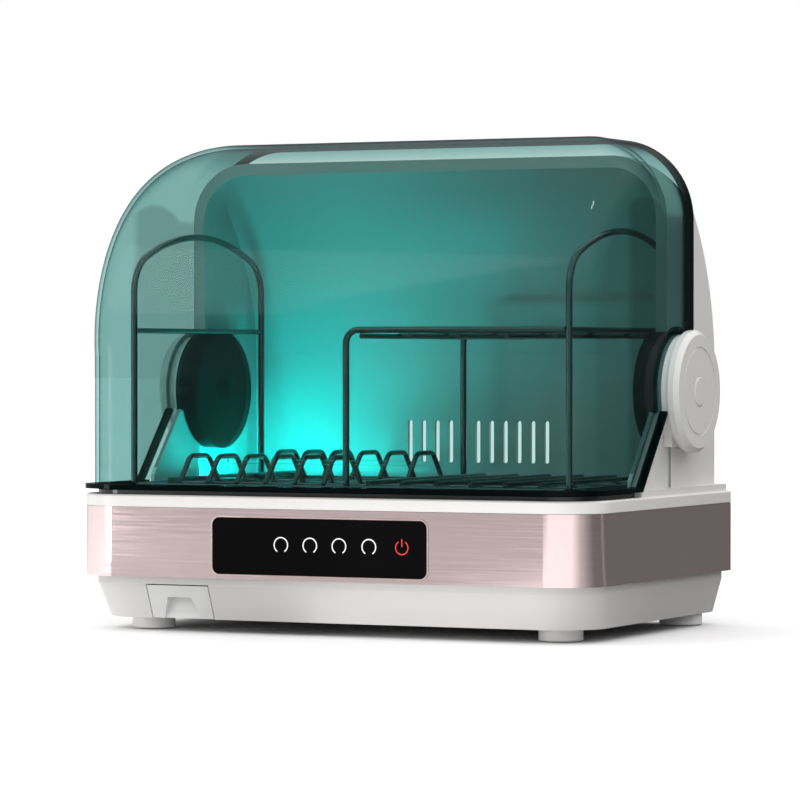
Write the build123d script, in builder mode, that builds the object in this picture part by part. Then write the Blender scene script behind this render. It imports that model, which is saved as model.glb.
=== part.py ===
from build123d import *
import os
from math import sin, cos, tan, radians, degrees, sqrt, hypot, atan2

os.makedirs("parts", exist_ok=True)

# A countertop dish sterilizer. Millimetres. X to the right, Y to the back, Z up.
# The origin is on the table under the middle of the cabinet.

# ------------------------------------------------------------------ driving dimensions
# Base
base_width = 430.0
base_depth = 288.0
front_corner = 37.0
rear_corner = 8.0
foot_height = 10.0
skirt_height = 26.0            # drafted lower wall
shoulder_height = 6.0          # upright strip over the draft
band_height = 53.0
rim_height = 9.0               # white edge of the deck above the band
wall = 3.0                     # moulded walls
fit = 0.3                      # gap between pieces that seat on each other
skirt_side_inset = 5.5
skirt_front_inset = 8.0
skirt_side_draft = 5.5
skirt_front_draft = 11.0
band_thickness = 1.5
platform_height = 5.0
platform_inset = 3.6

# Lid
lip_margin = 1.0               # lip inside the base's edge at the sides
lip_overhang = 3.0             # lip in front of the base
lip_reach = 6.0                # lip out from the dome at the sides
lip_front_reach = 12.0         # lip out from the dome in front
lip_half_width = base_width / 2 - lip_margin
lip_front_y = -base_depth / 2 - lip_overhang
dome_half_width = lip_half_width - lip_reach
dome_front_y = lip_front_y + lip_front_reach
dome_top_z = 375.0
dome_wall = 3.0
crown_y = dome_front_y + 154.0                 # where the roof turns down towards the front
crown_z = 208.5                # where the front wall starts to lean back
dome_rear_y = crown_y + 57.0
dome_front_corner = 25.0
dome_middle_corner = 10.0      # pulls the corner radius half way round the crown
dome_roof_corner = 62.5
dome_sections = 7
lip_height = 3.5
lid_lift = 4.0                 # height of the lip over the deck
edge_foot_y = dome_rear_y - 117.0            # foot of the slanted rear edge of the side panel
edge_slope = 49.3              # degrees
handle_width = 164.0
handle_reach = 8.0
handle_z = 130.0

# Hinge
hinge_y = dome_rear_y - 23.0
hinge_z = 181.7
drum_radius = 43.0
notch_radius = 44.0
hub_ring_radius = 47.0
hub_disc = 3.5
pin_radius = 8.0
running_clearance = 0.05
bush_wall = 3.0
pin_head_radius = 12.0
pin_head = 2.6
cap_radius = 46.5
cap_face_radius = 43.0
cap_rim = 4.5
cap_depth = 8.0
cap_groove_radius = 33.0
button_radius = 11.4
button_proud = 0.7

# Rear housing
housing_gap = 2.0              # between the lid's side and the housing
housing_half_width = dome_half_width - dome_wall - housing_gap
housing_rim_y = hinge_y - 20.0
drum_inner_x = housing_half_width - 12.7
drum_outer_x = housing_half_width + 10.8
housing_top_z = 361.0
housing_back_y = base_depth / 2 - 6.0
platform_front_y = edge_foot_y + 3.0
housing_foot_y = platform_front_y + 0.5
housing_foot_rise = 7.0
housing_roof_corner = 46.0
housing_shoulder = (housing_back_y - 30.0, 300.0)
housing_back_top_z = 210.0
housing_ring = 9.0

# Tray
tray_half_width = housing_half_width - 8.0
tray_front_y = -base_depth / 2 + 20.0
tray_rear_y = base_depth / 2 - 33.0
pan_half_width = tray_half_width - 19.0
pan_front_y = tray_front_y + 26.0
pan_rear_y = tray_rear_y - 11.0
pan_depth = 17.0
pan_draft = 6.0
sheet = 1.0
drain_x = -126.0
drain_y = pan_front_y + 12.0
drain_radius = 4.2

# Rack
wire_radius = 2.5
thin_wire_radius = 2.0
hoop_x = housing_half_width - 22.0
rack_front_y = tray_front_y + 21.0
rack_rear_y = tray_rear_y - 4.0
hoop_spring_z = 257.0
hoop_apex_z = 304.5
hoop_haunch = 30.0
shelf_z = 228.0
rack_floor_z = 110.0
divider_count = 6
divider_first_x = -19.0
divider_pitch = 24.5
divider_depth = 63.0
divider_top_z = 134.0
divider_corner = 11.0
divider_lean = 17.0            # how far each leg leans in by its top
shelf_corner = 10.0
shelf_bars = 4

# Lamp: a 4 W tube, 136 mm long and 16 mm thick
lamp_length = 136.0
lamp_radius = 8.0
lamp_x = -88.0
lamp_y = 15.0

# Warm air
fan_x = 65.0
fan_y = 15.0
fan_size = 92.0
fan_depth = 18.0
fan_bore = 43.0
blade_count = 7
hub_radius = 15.0
duct_radius = 46.0
duct_wall = 1.5

# Control panel
panel_x = -2.5
panel_width = 179.6
panel_height = 45.0
panel_corner = 7.0
bezel = 1.2
key_first_x = -33.5
key_pitch = 24.2
key_count = 5

# Drip drawer
drawer_x = -126.0
drawer_width = 52.0
drawer_length = 76.0
drawer_wall = 2.0

# ------------------------------------------------------------------ derived places
half_width = base_width / 2
half_depth = base_depth / 2
skirt_z = foot_height
shoulder_z = skirt_z + skirt_height
band_z = shoulder_z + shoulder_height
rim_z = band_z + band_height
deck_z = rim_z + rim_height
platform_z = deck_z + platform_height
lip_z = deck_z + lid_lift
wall_inset = band_thickness + fit
cover_thickness = wall
cover_z = skirt_z + cover_thickness
tray_z = deck_z + fit
tray_top_z = tray_z + sheet
pan_floor_z = tray_top_z - pan_depth
hinge_axis = Axis((0, hinge_y, hinge_z), (1, 0, 0))
hinge_section = Plane(origin=(0, hinge_y, hinge_z), x_dir=(1, 0, 0), z_dir=(0, -1, 0))


def plan(side, front, rear, front_radius=front_corner, rear_radius=rear_corner):
    """Plan of the base, drawn in from its sides, front and rear."""
    smallest = 1.5
    with BuildSketch(mode=Mode.PRIVATE) as outline:
        with Locations((0, (front - rear) / 2)):
            Rectangle(base_width - 2 * side, base_depth - front - rear)
        fillet(outline.vertices().group_by(Axis.Y)[0], max(front_radius, smallest))
        fillet(outline.vertices().group_by(Axis.Y)[-1], max(rear_radius, smallest))
    return outline.sketch


def even_plan(inset):
    """Plan of the base drawn in by the same amount all round."""
    return plan(inset, inset, inset, front_corner - inset, rear_corner - inset)


def skirt_plan(drop, thickness=0.0):
    """Plan of the drafted skirt, `drop` of its height below the shoulder."""
    side = skirt_side_inset + skirt_side_draft * drop + thickness
    front = skirt_front_inset + skirt_front_draft * drop + thickness
    return plan(side, front, side, front_corner - thickness, rear_corner - thickness / 2)


def skirt_front(z):
    """Y of the skirt's outer face at height z."""
    drop = (shoulder_z - z) / skirt_height
    return -half_depth + skirt_front_inset + skirt_front_draft * max(drop, 0)


def side_profile(points):
    """A closed side outline from its (y, z) corner points."""
    with BuildSketch(mode=Mode.PRIVATE) as outline:
        with BuildLine():
            Polyline(*points, close=True)
        make_face()
    return outline.sketch


def turned(points):
    """A solid turned about the hinge axis from (x, radius) points."""
    with BuildPart(mode=Mode.PRIVATE) as solid:
        with BuildSketch(hinge_section):
            with BuildLine():
                Polyline(*points, close=True)
            make_face()
        revolve(axis=hinge_axis)
    return solid.part


def write_pair(right, name):
    """Writes the right-hand piece and its mirror image."""
    right.part.label = f"{name}_right"
    export_step(right.part, f"parts/{name}_right.step")
    with BuildPart() as left:
        mirror(right.part, about=Plane.YZ)
    left.part.label = f"{name}_left"
    export_step(left.part, f"parts/{name}_left.step")


# ================================================================== base
# ------------------------------------------------------------------ base tub
cover_screw_x = half_width - 23.0
cover_screw_ys = (-62.0, 20.0, 84.0)
boss_radius = 4.5
screw_radius = 1.5
window_margin = 5.0
board_post_radius = 2.5
board_gap = 6.0
panel_z = band_z + band_height / 2 - 1.5
vent_width = 3.2
vent_height = 26.0
vent_pitch = 7.0
vent_count = 24
vent_x = -40.0
gland_x = 120.0
gland_z = band_z + 22.0
gland_radius = 6.0
drawer_top_z = shoulder_z - 0.4
board_posts = [(panel_x + sx * (panel_width / 2 - 3.5), panel_z + sy * (panel_height / 2 - 3.5))
               for sx in (-1, 1) for sy in (-1, 1)]

with BuildPart() as base_tub:
    with BuildSketch(Plane.XY.offset(skirt_z)):
        add(skirt_plan(1))
    with BuildSketch(Plane.XY.offset(shoulder_z)):
        add(skirt_plan(0))
    loft()
    with BuildSketch(Plane.XY.offset(shoulder_z)):
        add(skirt_plan(0))
    extrude(amount=shoulder_height)
    with BuildSketch(Plane.XY.offset(band_z)):
        add(even_plan(wall_inset))
    extrude(amount=band_height)
    # hollow: drafted below, straight above the ledge that the band stands over
    with BuildSketch(Plane.XY.offset(skirt_z)):
        add(skirt_plan(1, wall))
    with BuildSketch(Plane.XY.offset(shoulder_z)):
        add(skirt_plan(0, wall))
    loft(mode=Mode.SUBTRACT)
    with BuildSketch(Plane.XY.offset(shoulder_z)):
        add(skirt_plan(0, wall))
    extrude(amount=shoulder_height + wall, mode=Mode.SUBTRACT)
    with BuildSketch(Plane.XY.offset(band_z + wall)):
        add(even_plan(wall_inset + wall))
    extrude(amount=band_height, mode=Mode.SUBTRACT)
    # screw bosses for the bottom cover, each on a rib that grows from the side wall
    rib_foot_x = half_width - skirt_side_inset - skirt_side_draft - wall / 2
    rib_top_x = half_width - skirt_side_inset - wall / 2
    for side in (-1, 1):
        for y in cover_screw_ys:
            with BuildSketch(Plane.XY.offset(cover_z + fit)):
                with Locations((side * cover_screw_x, y)):
                    Circle(boss_radius)
            extrude(amount=band_z - cover_z)
            with BuildSketch(Plane.XZ.offset(-y)):
                with BuildLine():
                    Polyline((side * cover_screw_x, cover_z + fit), (side * rib_foot_x, cover_z + fit),
                             (side * rib_top_x, shoulder_z), (side * rib_top_x, band_z + wall / 2),
                             (side * cover_screw_x, band_z + wall / 2), close=True)
                make_face()
            extrude(amount=1.2, both=True)
            with BuildSketch(Plane.XY.offset(cover_z)):
                with Locations((side * cover_screw_x, y)):
                    Circle(screw_radius + 0.1)
            extrude(amount=14, mode=Mode.SUBTRACT)
    # window behind the glass, and posts for the touch board
    with BuildSketch(Plane.XZ.offset(half_depth)):
        with Locations((panel_x, panel_z)):
            RectangleRounded(panel_width - 2 * window_margin - 2 * bezel, panel_height - 2 * window_margin, 4)
    extrude(amount=-4 * wall, mode=Mode.SUBTRACT)
    with BuildSketch(Plane.XZ.offset(half_depth - wall_inset - wall / 2)):
        with Locations(*board_posts):
            Circle(board_post_radius)
    extrude(amount=-(wall / 2 + 3.0))
    # bay for the drawer
    with BuildSketch(Plane.XZ.offset(half_depth)):
        with Locations((drawer_x, skirt_z)):
            Rectangle(drawer_width + 2 * fit + 1, drawer_top_z - skirt_z + 0.8, align=(Align.CENTER, Align.MIN))
    extrude(amount=-35, mode=Mode.SUBTRACT)
    # air window and cord hole in the rear wall
    with BuildSketch(Plane.XZ.offset(-half_depth)):
        with Locations((vent_x, band_z + band_height / 2)):
            Rectangle(vent_count * vent_pitch + 4, vent_height + 6)
        with Locations((gland_x, gland_z)):
            Circle(gland_radius + 0.2)
    extrude(amount=3 * wall, mode=Mode.SUBTRACT)
base_tub.part.label = "base_tub"
export_step(base_tub.part, "parts/base_tub.step")

# ------------------------------------------------------------------ bottom cover
vent_ring_pitch = 8.0
standoff_height = 5.0
standoff_radius = 3.0
power_board_size = (104.0, 60.0)
power_board_at = (-112.0, 88.0)
ballast_size = (56.0, 40.0)
ballast_at = (148.0, 84.0)
front_foot = (half_width - 45.0, -half_depth + 52.0)
rear_foot = (half_width - 31.0, half_depth - 34.0)
foot_radius = 16.5
foot_places = {
    "front_left": (-front_foot[0], front_foot[1]), "front_right": front_foot,
    "rear_left": (-rear_foot[0], rear_foot[1]), "rear_right": rear_foot,
}
foot_screw_radius = 2.0


def board_corners(centre, size, margin=4.0):
    """The four fixing points of a board."""
    return [(centre[0] + sx * (size[0] / 2 - margin), centre[1] + sy * (size[1] / 2 - margin))
            for sx in (-1, 1) for sy in (-1, 1)]


with BuildPart() as bottom_cover:
    with BuildSketch(Plane.XY.offset(skirt_z)):
        add(skirt_plan(1, wall + fit))
    extrude(amount=cover_thickness)
    # stiffening rib round the edge
    rib_inset = 12.0
    with BuildSketch(Plane.XY.offset(cover_z)):
        add(skirt_plan(1, wall + rib_inset))
        add(skirt_plan(1, wall + rib_inset + 1.6), mode=Mode.SUBTRACT)
        with Locations((drawer_x, -half_depth)):
            Rectangle(drawer_width + 12, 90, mode=Mode.SUBTRACT)
        for side in (-1, 1):
            with Locations(*[(side * cover_screw_x, y) for y in cover_screw_ys]):
                Circle(boss_radius + 1.2, mode=Mode.SUBTRACT)
    extrude(amount=3)
    # board standoffs
    with BuildSketch(Plane.XY.offset(cover_z)):
        with Locations(*board_corners(power_board_at, power_board_size),
                       *board_corners(ballast_at, ballast_size)):
            Circle(standoff_radius)
    extrude(amount=standoff_height)
    # air slots under the fan
    for row in range(-4, 5):
        reach = sqrt((fan_bore - 3) ** 2 - (row * vent_ring_pitch) ** 2)
        with BuildSketch(Plane.XY.offset(skirt_z)):
            with Locations((fan_x, fan_y + row * vent_ring_pitch)):
                SlotOverall(2 * reach, 3.6)
        extrude(amount=cover_thickness, mode=Mode.SUBTRACT)
    # screw holes
    with Locations(*[(side * cover_screw_x, y, skirt_z) for side in (-1, 1) for y in cover_screw_ys]):
        Cylinder(screw_radius + 0.2, 3 * cover_thickness, mode=Mode.SUBTRACT)
        Cone(screw_radius + 2, screw_radius + 0.2, 1.8, align=(Align.CENTER, Align.CENTER, Align.MIN),
             mode=Mode.SUBTRACT)
    with Locations(*[(x, y, skirt_z) for x, y in foot_places.values()]):
        Cylinder(foot_screw_radius + 0.2, 3 * cover_thickness, mode=Mode.SUBTRACT)
bottom_cover.part.label = "bottom_cover"
export_step(bottom_cover.part, "parts/bottom_cover.step")

# ------------------------------------------------------------------ feet, pads and screws
pad_radius = 11.7
pad_thickness = 1.4
foot_ground = 0.6
foot_recess = 1.0

for corner, (foot_x, foot_y) in foot_places.items():
    with BuildPart() as foot:
        with BuildSketch(Plane.XY.offset(foot_ground)):
            with Locations((foot_x, foot_y)):
                Circle(foot_radius)
        extrude(amount=foot_height - foot_ground)
        chamfer(foot.edges().group_by(Axis.Z)[0], 0.8)
        with Locations((foot_x, foot_y, foot_ground)):
            Cylinder(pad_radius + 0.2, 2 * foot_recess, mode=Mode.SUBTRACT)
            Cylinder(foot_screw_radius + 2.4, 9, mode=Mode.SUBTRACT)
            Cylinder(foot_screw_radius + 0.2, 4 * foot_height, mode=Mode.SUBTRACT)
    foot.part.label = f"foot_{corner}"
    export_step(foot.part, f"parts/foot_{corner}.step")

with BuildPart() as foot_pads:
    with BuildSketch():
        with Locations(*foot_places.values()):
            Circle(pad_radius)
    extrude(amount=pad_thickness)
foot_pads.part.label = "foot_pads"
export_step(foot_pads.part, "parts/foot_pads.step")

with BuildPart() as base_screws:
    with Locations(*[(side * cover_screw_x, y, skirt_z + 0.2) for side in (-1, 1) for y in cover_screw_ys]):
        Cone(screw_radius + 1.8, screw_radius, 1.6, align=(Align.CENTER, Align.CENTER, Align.MIN))
        Cylinder(screw_radius, 13, align=(Align.CENTER, Align.CENTER, Align.MIN))
    screw_head_z = 2.6
    with Locations(*[(x, y, screw_head_z) for x, y in foot_places.values()]):
        Cylinder(foot_screw_radius + 2, 2.2, align=(Align.CENTER, Align.CENTER, Align.MIN))
        Cylinder(foot_screw_radius, cover_z + 3 - screw_head_z, align=(Align.CENTER, Align.CENTER, Align.MIN))
base_screws.part.label = "base_screws"
export_step(base_screws.part, "parts/base_screws.step")

# ------------------------------------------------------------------ metal band and rear panel
rear_panel_width = 380.0

with BuildPart() as base_band:
    with BuildSketch(Plane.XY.offset(band_z)):
        add(even_plan(0))
        add(even_plan(band_thickness), mode=Mode.SUBTRACT)
        with Locations((0, half_depth)):
            Rectangle(rear_panel_width + 2 * fit, 4 * band_thickness, mode=Mode.SUBTRACT)
    extrude(amount=band_height - fit)
    with BuildSketch(Plane.XZ.offset(half_depth + wall)):
        with Locations((panel_x, panel_z)):
            RectangleRounded(panel_width + fit, panel_height + fit, panel_corner + fit / 2)
    extrude(amount=-2 * wall, mode=Mode.SUBTRACT)
base_band.part.label = "base_band"
export_step(base_band.part, "parts/base_band.step")

with BuildPart() as rear_panel:
    with BuildSketch(Plane.XZ.offset(-half_depth)):
        with Locations((0, band_z + (band_height - fit) / 2)):
            RectangleRounded(rear_panel_width, band_height - fit, 1.5)
    extrude(amount=band_thickness)
    with BuildSketch(Plane.XZ.offset(-half_depth)):
        with Locations((vent_x, band_z + band_height / 2)):
            with GridLocations(vent_pitch, vent_height, vent_count, 1):
                SlotOverall(vent_height, vent_width, rotation=90)
        with Locations((gland_x, gland_z)):
            Circle(gland_radius + 0.2)
    extrude(amount=band_thickness, mode=Mode.SUBTRACT)
rear_panel.part.label = "rear_panel"
export_step(rear_panel.part, "parts/rear_panel.step")

# ------------------------------------------------------------------ cord gland
gland_flange = 3.0
cord_radius = 3.6
gland_nut = 3.0

with BuildPart() as cord_gland:
    with BuildSketch(Plane.XZ.offset(-half_depth - gland_flange)):
        with Locations((gland_x, gland_z)):
            Circle(gland_radius + 3)
    extrude(amount=gland_flange - 0.05)
    fillet(cord_gland.edges().group_by(Axis.Y)[-1], 1.2)
    with BuildSketch(Plane.XZ.offset(-half_depth)):
        with Locations((gland_x, gland_z)):
            Circle(gland_radius)
    extrude(amount=wall_inset + wall + fit)
    with BuildSketch(Plane.XZ.offset(-half_depth + wall_inset + wall + fit)):
        with Locations((gland_x, gland_z)):
            RegularPolygon(gland_radius + 3, 6)
    extrude(amount=gland_nut)
    with BuildSketch(Plane.XZ.offset(-half_depth - gland_flange)):
        with Locations((gland_x, gland_z)):
            Circle(cord_radius)
    extrude(amount=gland_flange + wall_inset + wall + fit + gland_nut, mode=Mode.SUBTRACT)
cord_gland.part.label = "cord_gland"
export_step(cord_gland.part, "parts/cord_gland.step")

# ------------------------------------------------------------------ control panel
bezel_proud = 0.5
bezel_y = -half_depth - bezel_proud
glass_seat_y = -half_depth + wall_inset

with BuildPart() as panel_bezel:
    with BuildSketch(Plane.XZ.offset(-bezel_y)):
        with Locations((panel_x, panel_z)):
            RectangleRounded(panel_width, panel_height, panel_corner)
            RectangleRounded(panel_width - 2 * bezel, panel_height - 2 * bezel, panel_corner - bezel,
                             mode=Mode.SUBTRACT)
    extrude(amount=bezel_y - glass_seat_y)
panel_bezel.part.label = "panel_bezel"
export_step(panel_bezel.part, "parts/panel_bezel.step")

with BuildPart() as control_glass:
    with BuildSketch(Plane.XZ.offset(-bezel_y - 0.2)):
        with Locations((panel_x, panel_z)):
            RectangleRounded(panel_width - 2 * bezel - 0.2, panel_height - 2 * bezel - 0.2, panel_corner - bezel)
    extrude(amount=bezel_y + 0.2 - glass_seat_y)
control_glass.part.label = "control_glass"
export_step(control_glass.part, "parts/control_glass.step")

board_y = glass_seat_y + board_gap
board_thickness = 1.6
board_margin = 2.0
key_places = [(key_first_x + i * key_pitch, panel_z + 1.0) for i in range(key_count)]

with BuildPart() as touch_board:
    with BuildSketch(Plane.XZ.offset(-board_y)):
        with Locations((panel_x, panel_z)):
            Rectangle(panel_width, panel_height - 2 * board_margin)
    extrude(amount=-board_thickness)
    with BuildSketch(Plane.XZ.offset(-board_y - board_thickness)):
        with Locations((panel_x - 50, panel_z)):
            Rectangle(14, 14)
        with Locations((panel_x + 55, panel_z - 8)):
            Rectangle(20, 6)
    extrude(amount=-3)
touch_board.part.label = "touch_board"
export_step(touch_board.part, "parts/touch_board.step")

with BuildPart() as touch_springs:
    with BuildSketch(Plane.XZ.offset(-glass_seat_y)):
        with Locations(*key_places):
            Circle(4)
            Circle(3.2, mode=Mode.SUBTRACT)
    extrude(amount=-board_gap)
touch_springs.part.label = "touch_springs"
export_step(touch_springs.part, "parts/touch_springs.step")

# ------------------------------------------------------------------ drip drawer
drawer_front_y = skirt_front(drawer_top_z)
drawer_floor_z = cover_z + 1.8
drawer_face_foot_z = skirt_z + 0.4
drawer_step_y = skirt_front(skirt_z) + wall + 0.2
drawer_back_y = drawer_step_y + drawer_length - 14
drawer_body_width = drawer_width - 4.4
drawer_body_top_z = drawer_top_z - 2
grip_top_z = drawer_top_z - 9.0
grip_back_y = drawer_front_y + 12.0
grip_top_width = 20.0
grip_foot_width = 33.0


def grip_pocket(grow):
    """Outline of the finger recess in the drawer's face, wider downwards and open at the foot."""
    with BuildSketch(mode=Mode.PRIVATE) as outline:
        with BuildLine():
            Polyline((drawer_x - grip_foot_width / 2 - grow, drawer_face_foot_z - 1),
                     (drawer_x - grip_top_width / 2 - grow, grip_top_z + grow),
                     (drawer_x + grip_top_width / 2 + grow, grip_top_z + grow),
                     (drawer_x + grip_foot_width / 2 + grow, drawer_face_foot_z - 1), close=True)
        make_face()
    return outline.sketch


def drawer_face(thickness):
    """Side outline of the drawer's sloping front block, its face moved in by thickness."""
    return side_profile([(drawer_front_y + thickness, drawer_top_z),
                         (skirt_front(drawer_face_foot_z) + thickness, drawer_face_foot_z + thickness),
                         (drawer_step_y, drawer_face_foot_z + thickness),
                         (drawer_step_y, drawer_top_z)])


# skin of the finger recess, trimmed to the face block
with BuildPart() as recess_skin:
    with BuildSketch(Plane.XZ.offset(half_depth)):
        add(grip_pocket(drawer_wall))
    extrude(amount=-(half_depth + grip_back_y + drawer_wall))
    with BuildSketch(Plane.YZ.offset(drawer_x)):
        add(drawer_face(0))
    extrude(amount=drawer_width / 2, both=True, mode=Mode.INTERSECT)

with BuildPart() as drip_drawer:
    with BuildSketch(Plane.YZ.offset(drawer_x)):
        add(drawer_face(0))
    extrude(amount=drawer_width / 2, both=True)
    with BuildSketch(Plane.XY.offset(drawer_floor_z)):
        with Locations((drawer_x, drawer_step_y - 1)):
            Rectangle(drawer_body_width, drawer_back_y - drawer_step_y + 1, align=(Align.CENTER, Align.MIN))
    extrude(amount=drawer_body_top_z - drawer_floor_z)
    fillet(drip_drawer.edges().filter_by(Axis.Z).group_by(Axis.Y)[-1], 4)
    # hollow behind the face and in the box
    with BuildSketch(Plane.YZ.offset(drawer_x)):
        with BuildLine():
            Polyline((drawer_front_y + drawer_wall, drawer_top_z + 1),
                     (drawer_front_y + drawer_wall, drawer_top_z),
                     (skirt_front(drawer_floor_z + drawer_wall) + drawer_wall, drawer_floor_z + drawer_wall),
                     (drawer_back_y - drawer_wall, drawer_floor_z + drawer_wall),
                     (drawer_back_y - drawer_wall, drawer_top_z + 1), close=True)
        make_face()
    extrude(amount=drawer_body_width / 2 - drawer_wall, both=True, mode=Mode.SUBTRACT)
    add(recess_skin.part)
    with BuildSketch(Plane.XZ.offset(half_depth)):
        add(grip_pocket(0))
    extrude(amount=-(half_depth + grip_back_y), mode=Mode.SUBTRACT)
drip_drawer.part.label = "drip_drawer"
export_step(drip_drawer.part, "parts/drip_drawer.step")

# ------------------------------------------------------------------ drawer guide
guide_wall = 1.2
guide_height = 16.0

with BuildPart() as drawer_guide:
    guide_front_y = drawer_step_y + 3
    guide_width = drawer_body_width + 2 * fit + 2 * guide_wall
    with BuildSketch(Plane.XY.offset(cover_z)):
        with Locations((drawer_x, guide_front_y)):
            Rectangle(guide_width, drawer_back_y + 2 - guide_front_y, align=(Align.CENTER, Align.MIN))
    extrude(amount=guide_height)
    with BuildSketch(Plane.XY.offset(drawer_floor_z - fit)):
        with Locations((drawer_x, guide_front_y)):
            Rectangle(guide_width - 2 * guide_wall, drawer_back_y + fit - guide_front_y,
                      align=(Align.CENTER, Align.MIN))
    extrude(amount=guide_height, mode=Mode.SUBTRACT)
drawer_guide.part.label = "drawer_guide"
export_step(drawer_guide.part, "parts/drawer_guide.step")

# ================================================================== top of the base
# ------------------------------------------------------------------ deck
seal_inset = 9.0
seal_width = 6.5
platform_inner_x = housing_half_width - 4.5
platform_inner_y = housing_back_y - 6.5

with BuildPart() as deck:
    with BuildSketch(Plane.XY.offset(rim_z)):
        add(even_plan(0))
    extrude(amount=rim_height)
    chamfer(deck.faces().sort_by(Axis.Z)[-1].edges(), 1.2)
    # raised step that carries the rear housing
    with BuildSketch(Plane.XY.offset(deck_z)):
        add(even_plan(platform_inset))
        with Locations((0, platform_front_y)):
            Rectangle(2 * base_width, base_depth, align=(Align.CENTER, Align.MAX), mode=Mode.SUBTRACT)
            Rectangle(2 * platform_inner_x, platform_inner_y - platform_front_y,
                      align=(Align.CENTER, Align.MIN), mode=Mode.SUBTRACT)
    extrude(amount=platform_height)
    # underside
    with BuildSketch(Plane.XY.offset(rim_z)):
        add(even_plan(wall_inset + wall))
    extrude(amount=rim_height - wall, mode=Mode.SUBTRACT)
    # locating lip inside the tub
    with BuildSketch(Plane.XY.offset(rim_z - 6)):
        add(even_plan(wall_inset + wall + fit))
        add(even_plan(wall_inset + wall + fit + 1.8), mode=Mode.SUBTRACT)
    extrude(amount=6 + rim_height - wall / 2)
    # opening for the pan
    with BuildSketch(Plane.XY.offset(rim_z)):
        with Locations((0, (pan_front_y + pan_rear_y) / 2)):
            RectangleRounded(2 * pan_half_width + 2, pan_rear_y - pan_front_y + 2, 15)
    extrude(amount=3 * rim_height, mode=Mode.SUBTRACT)
deck.part.label = "deck"
export_step(deck.part, "parts/deck.step")

# ------------------------------------------------------------------ seal under the lid
with BuildPart() as lid_seal:
    with BuildSketch(Plane.XY.offset(deck_z)):
        add(even_plan(seal_inset))
        add(even_plan(seal_inset + seal_width), mode=Mode.SUBTRACT)
        with Locations((0, platform_front_y - fit)):
            Rectangle(2 * base_width, base_depth, align=(Align.CENTER, Align.MIN), mode=Mode.SUBTRACT)
    extrude(amount=lid_lift - fit)
    chamfer(lid_seal.edges().group_by(Axis.Z)[-1], 0.8)
lid_seal.part.label = "lid_seal"
export_step(lid_seal.part, "parts/lid_seal.step")

# ------------------------------------------------------------------ drip tray
lamp_well = (lamp_length + 20.0, 34.0)
well_rim = 1.2
island_height = 11.0
air_island_radius = 40.0
pan_y = (pan_front_y + pan_rear_y) / 2
pan_length = pan_rear_y - pan_front_y

with BuildPart() as drip_tray:
    with BuildSketch(Plane.XY.offset(tray_z)):
        with Locations((0, (tray_front_y + tray_rear_y) / 2)):
            RectangleRounded(2 * tray_half_width, tray_rear_y - tray_front_y, 22)
    extrude(amount=sheet)
    with BuildSketch(Plane.XY.offset(tray_z)):
        with Locations((0, pan_y)):
            RectangleRounded(2 * pan_half_width, pan_length, 14)
    with BuildSketch(Plane.XY.offset(pan_floor_z - sheet)):
        with Locations((0, pan_y)):
            RectangleRounded(2 * (pan_half_width - pan_draft), pan_length - 2 * pan_draft, 12)
    loft()
    with BuildSketch(Plane.XY.offset(tray_top_z)):
        with Locations((0, pan_y)):
            RectangleRounded(2 * (pan_half_width - sheet), pan_length - 2 * sheet, 13)
    with BuildSketch(Plane.XY.offset(pan_floor_z)):
        with Locations((0, pan_y)):
            RectangleRounded(2 * (pan_half_width - pan_draft - sheet), pan_length - 2 * (pan_draft + sheet), 11)
    loft(mode=Mode.SUBTRACT)
    # upstanding rims round the lamp well and the warm air outlet
    with BuildSketch(Plane.XY.offset(pan_floor_z - sheet)):
        with Locations((lamp_x, lamp_y)):
            RectangleRounded(lamp_well[0], lamp_well[1], 6)
        with Locations((fan_x, fan_y)):
            Circle(air_island_radius)
    extrude(amount=island_height + sheet)
    with BuildSketch(Plane.XY.offset(pan_floor_z - sheet)):
        with Locations((lamp_x, lamp_y)):
            RectangleRounded(lamp_well[0] - 2 * well_rim, lamp_well[1] - 2 * well_rim, 5)
        with Locations((fan_x, fan_y)):
            Circle(air_island_radius - well_rim)
    extrude(amount=island_height + sheet, mode=Mode.SUBTRACT)
    # drain collar
    with BuildSketch(Plane.XY.offset(pan_floor_z - sheet - 6)):
        with Locations((drain_x, drain_y)):
            Circle(drain_radius)
    extrude(amount=6.5)
    with BuildSketch(Plane.XY.offset(pan_floor_z - sheet - 6)):
        with Locations((drain_x, drain_y)):
            Circle(drain_radius - sheet)
    extrude(amount=9, mode=Mode.SUBTRACT)
drip_tray.part.label = "drip_tray"
export_step(drip_tray.part, "parts/drip_tray.step")

# ------------------------------------------------------------------ drain spout
spout_top_z = pan_floor_z - sheet - fit
spout_wall = 1.6
spout_foot_z = drawer_top_z + 1.0

with BuildPart() as drain_spout:
    with BuildSketch(Plane.XY.offset(spout_foot_z)):
        with Locations((drain_x, drain_y)):
            Circle(drain_radius + fit + spout_wall)
    extrude(amount=spout_top_z - spout_foot_z)
    with BuildSketch(Plane.XY.offset(spout_top_z - 2)):
        with Locations((drain_x, drain_y)):
            Circle(drain_radius + 7)
    extrude(amount=2)
    with BuildSketch(Plane.XY.offset(spout_foot_z)):
        with Locations((drain_x, drain_y)):
            Circle(drain_radius + fit)
    extrude(amount=spout_top_z - spout_foot_z, mode=Mode.SUBTRACT)
drain_spout.part.label = "drain_spout"
export_step(drain_spout.part, "parts/drain_spout.step")

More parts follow.
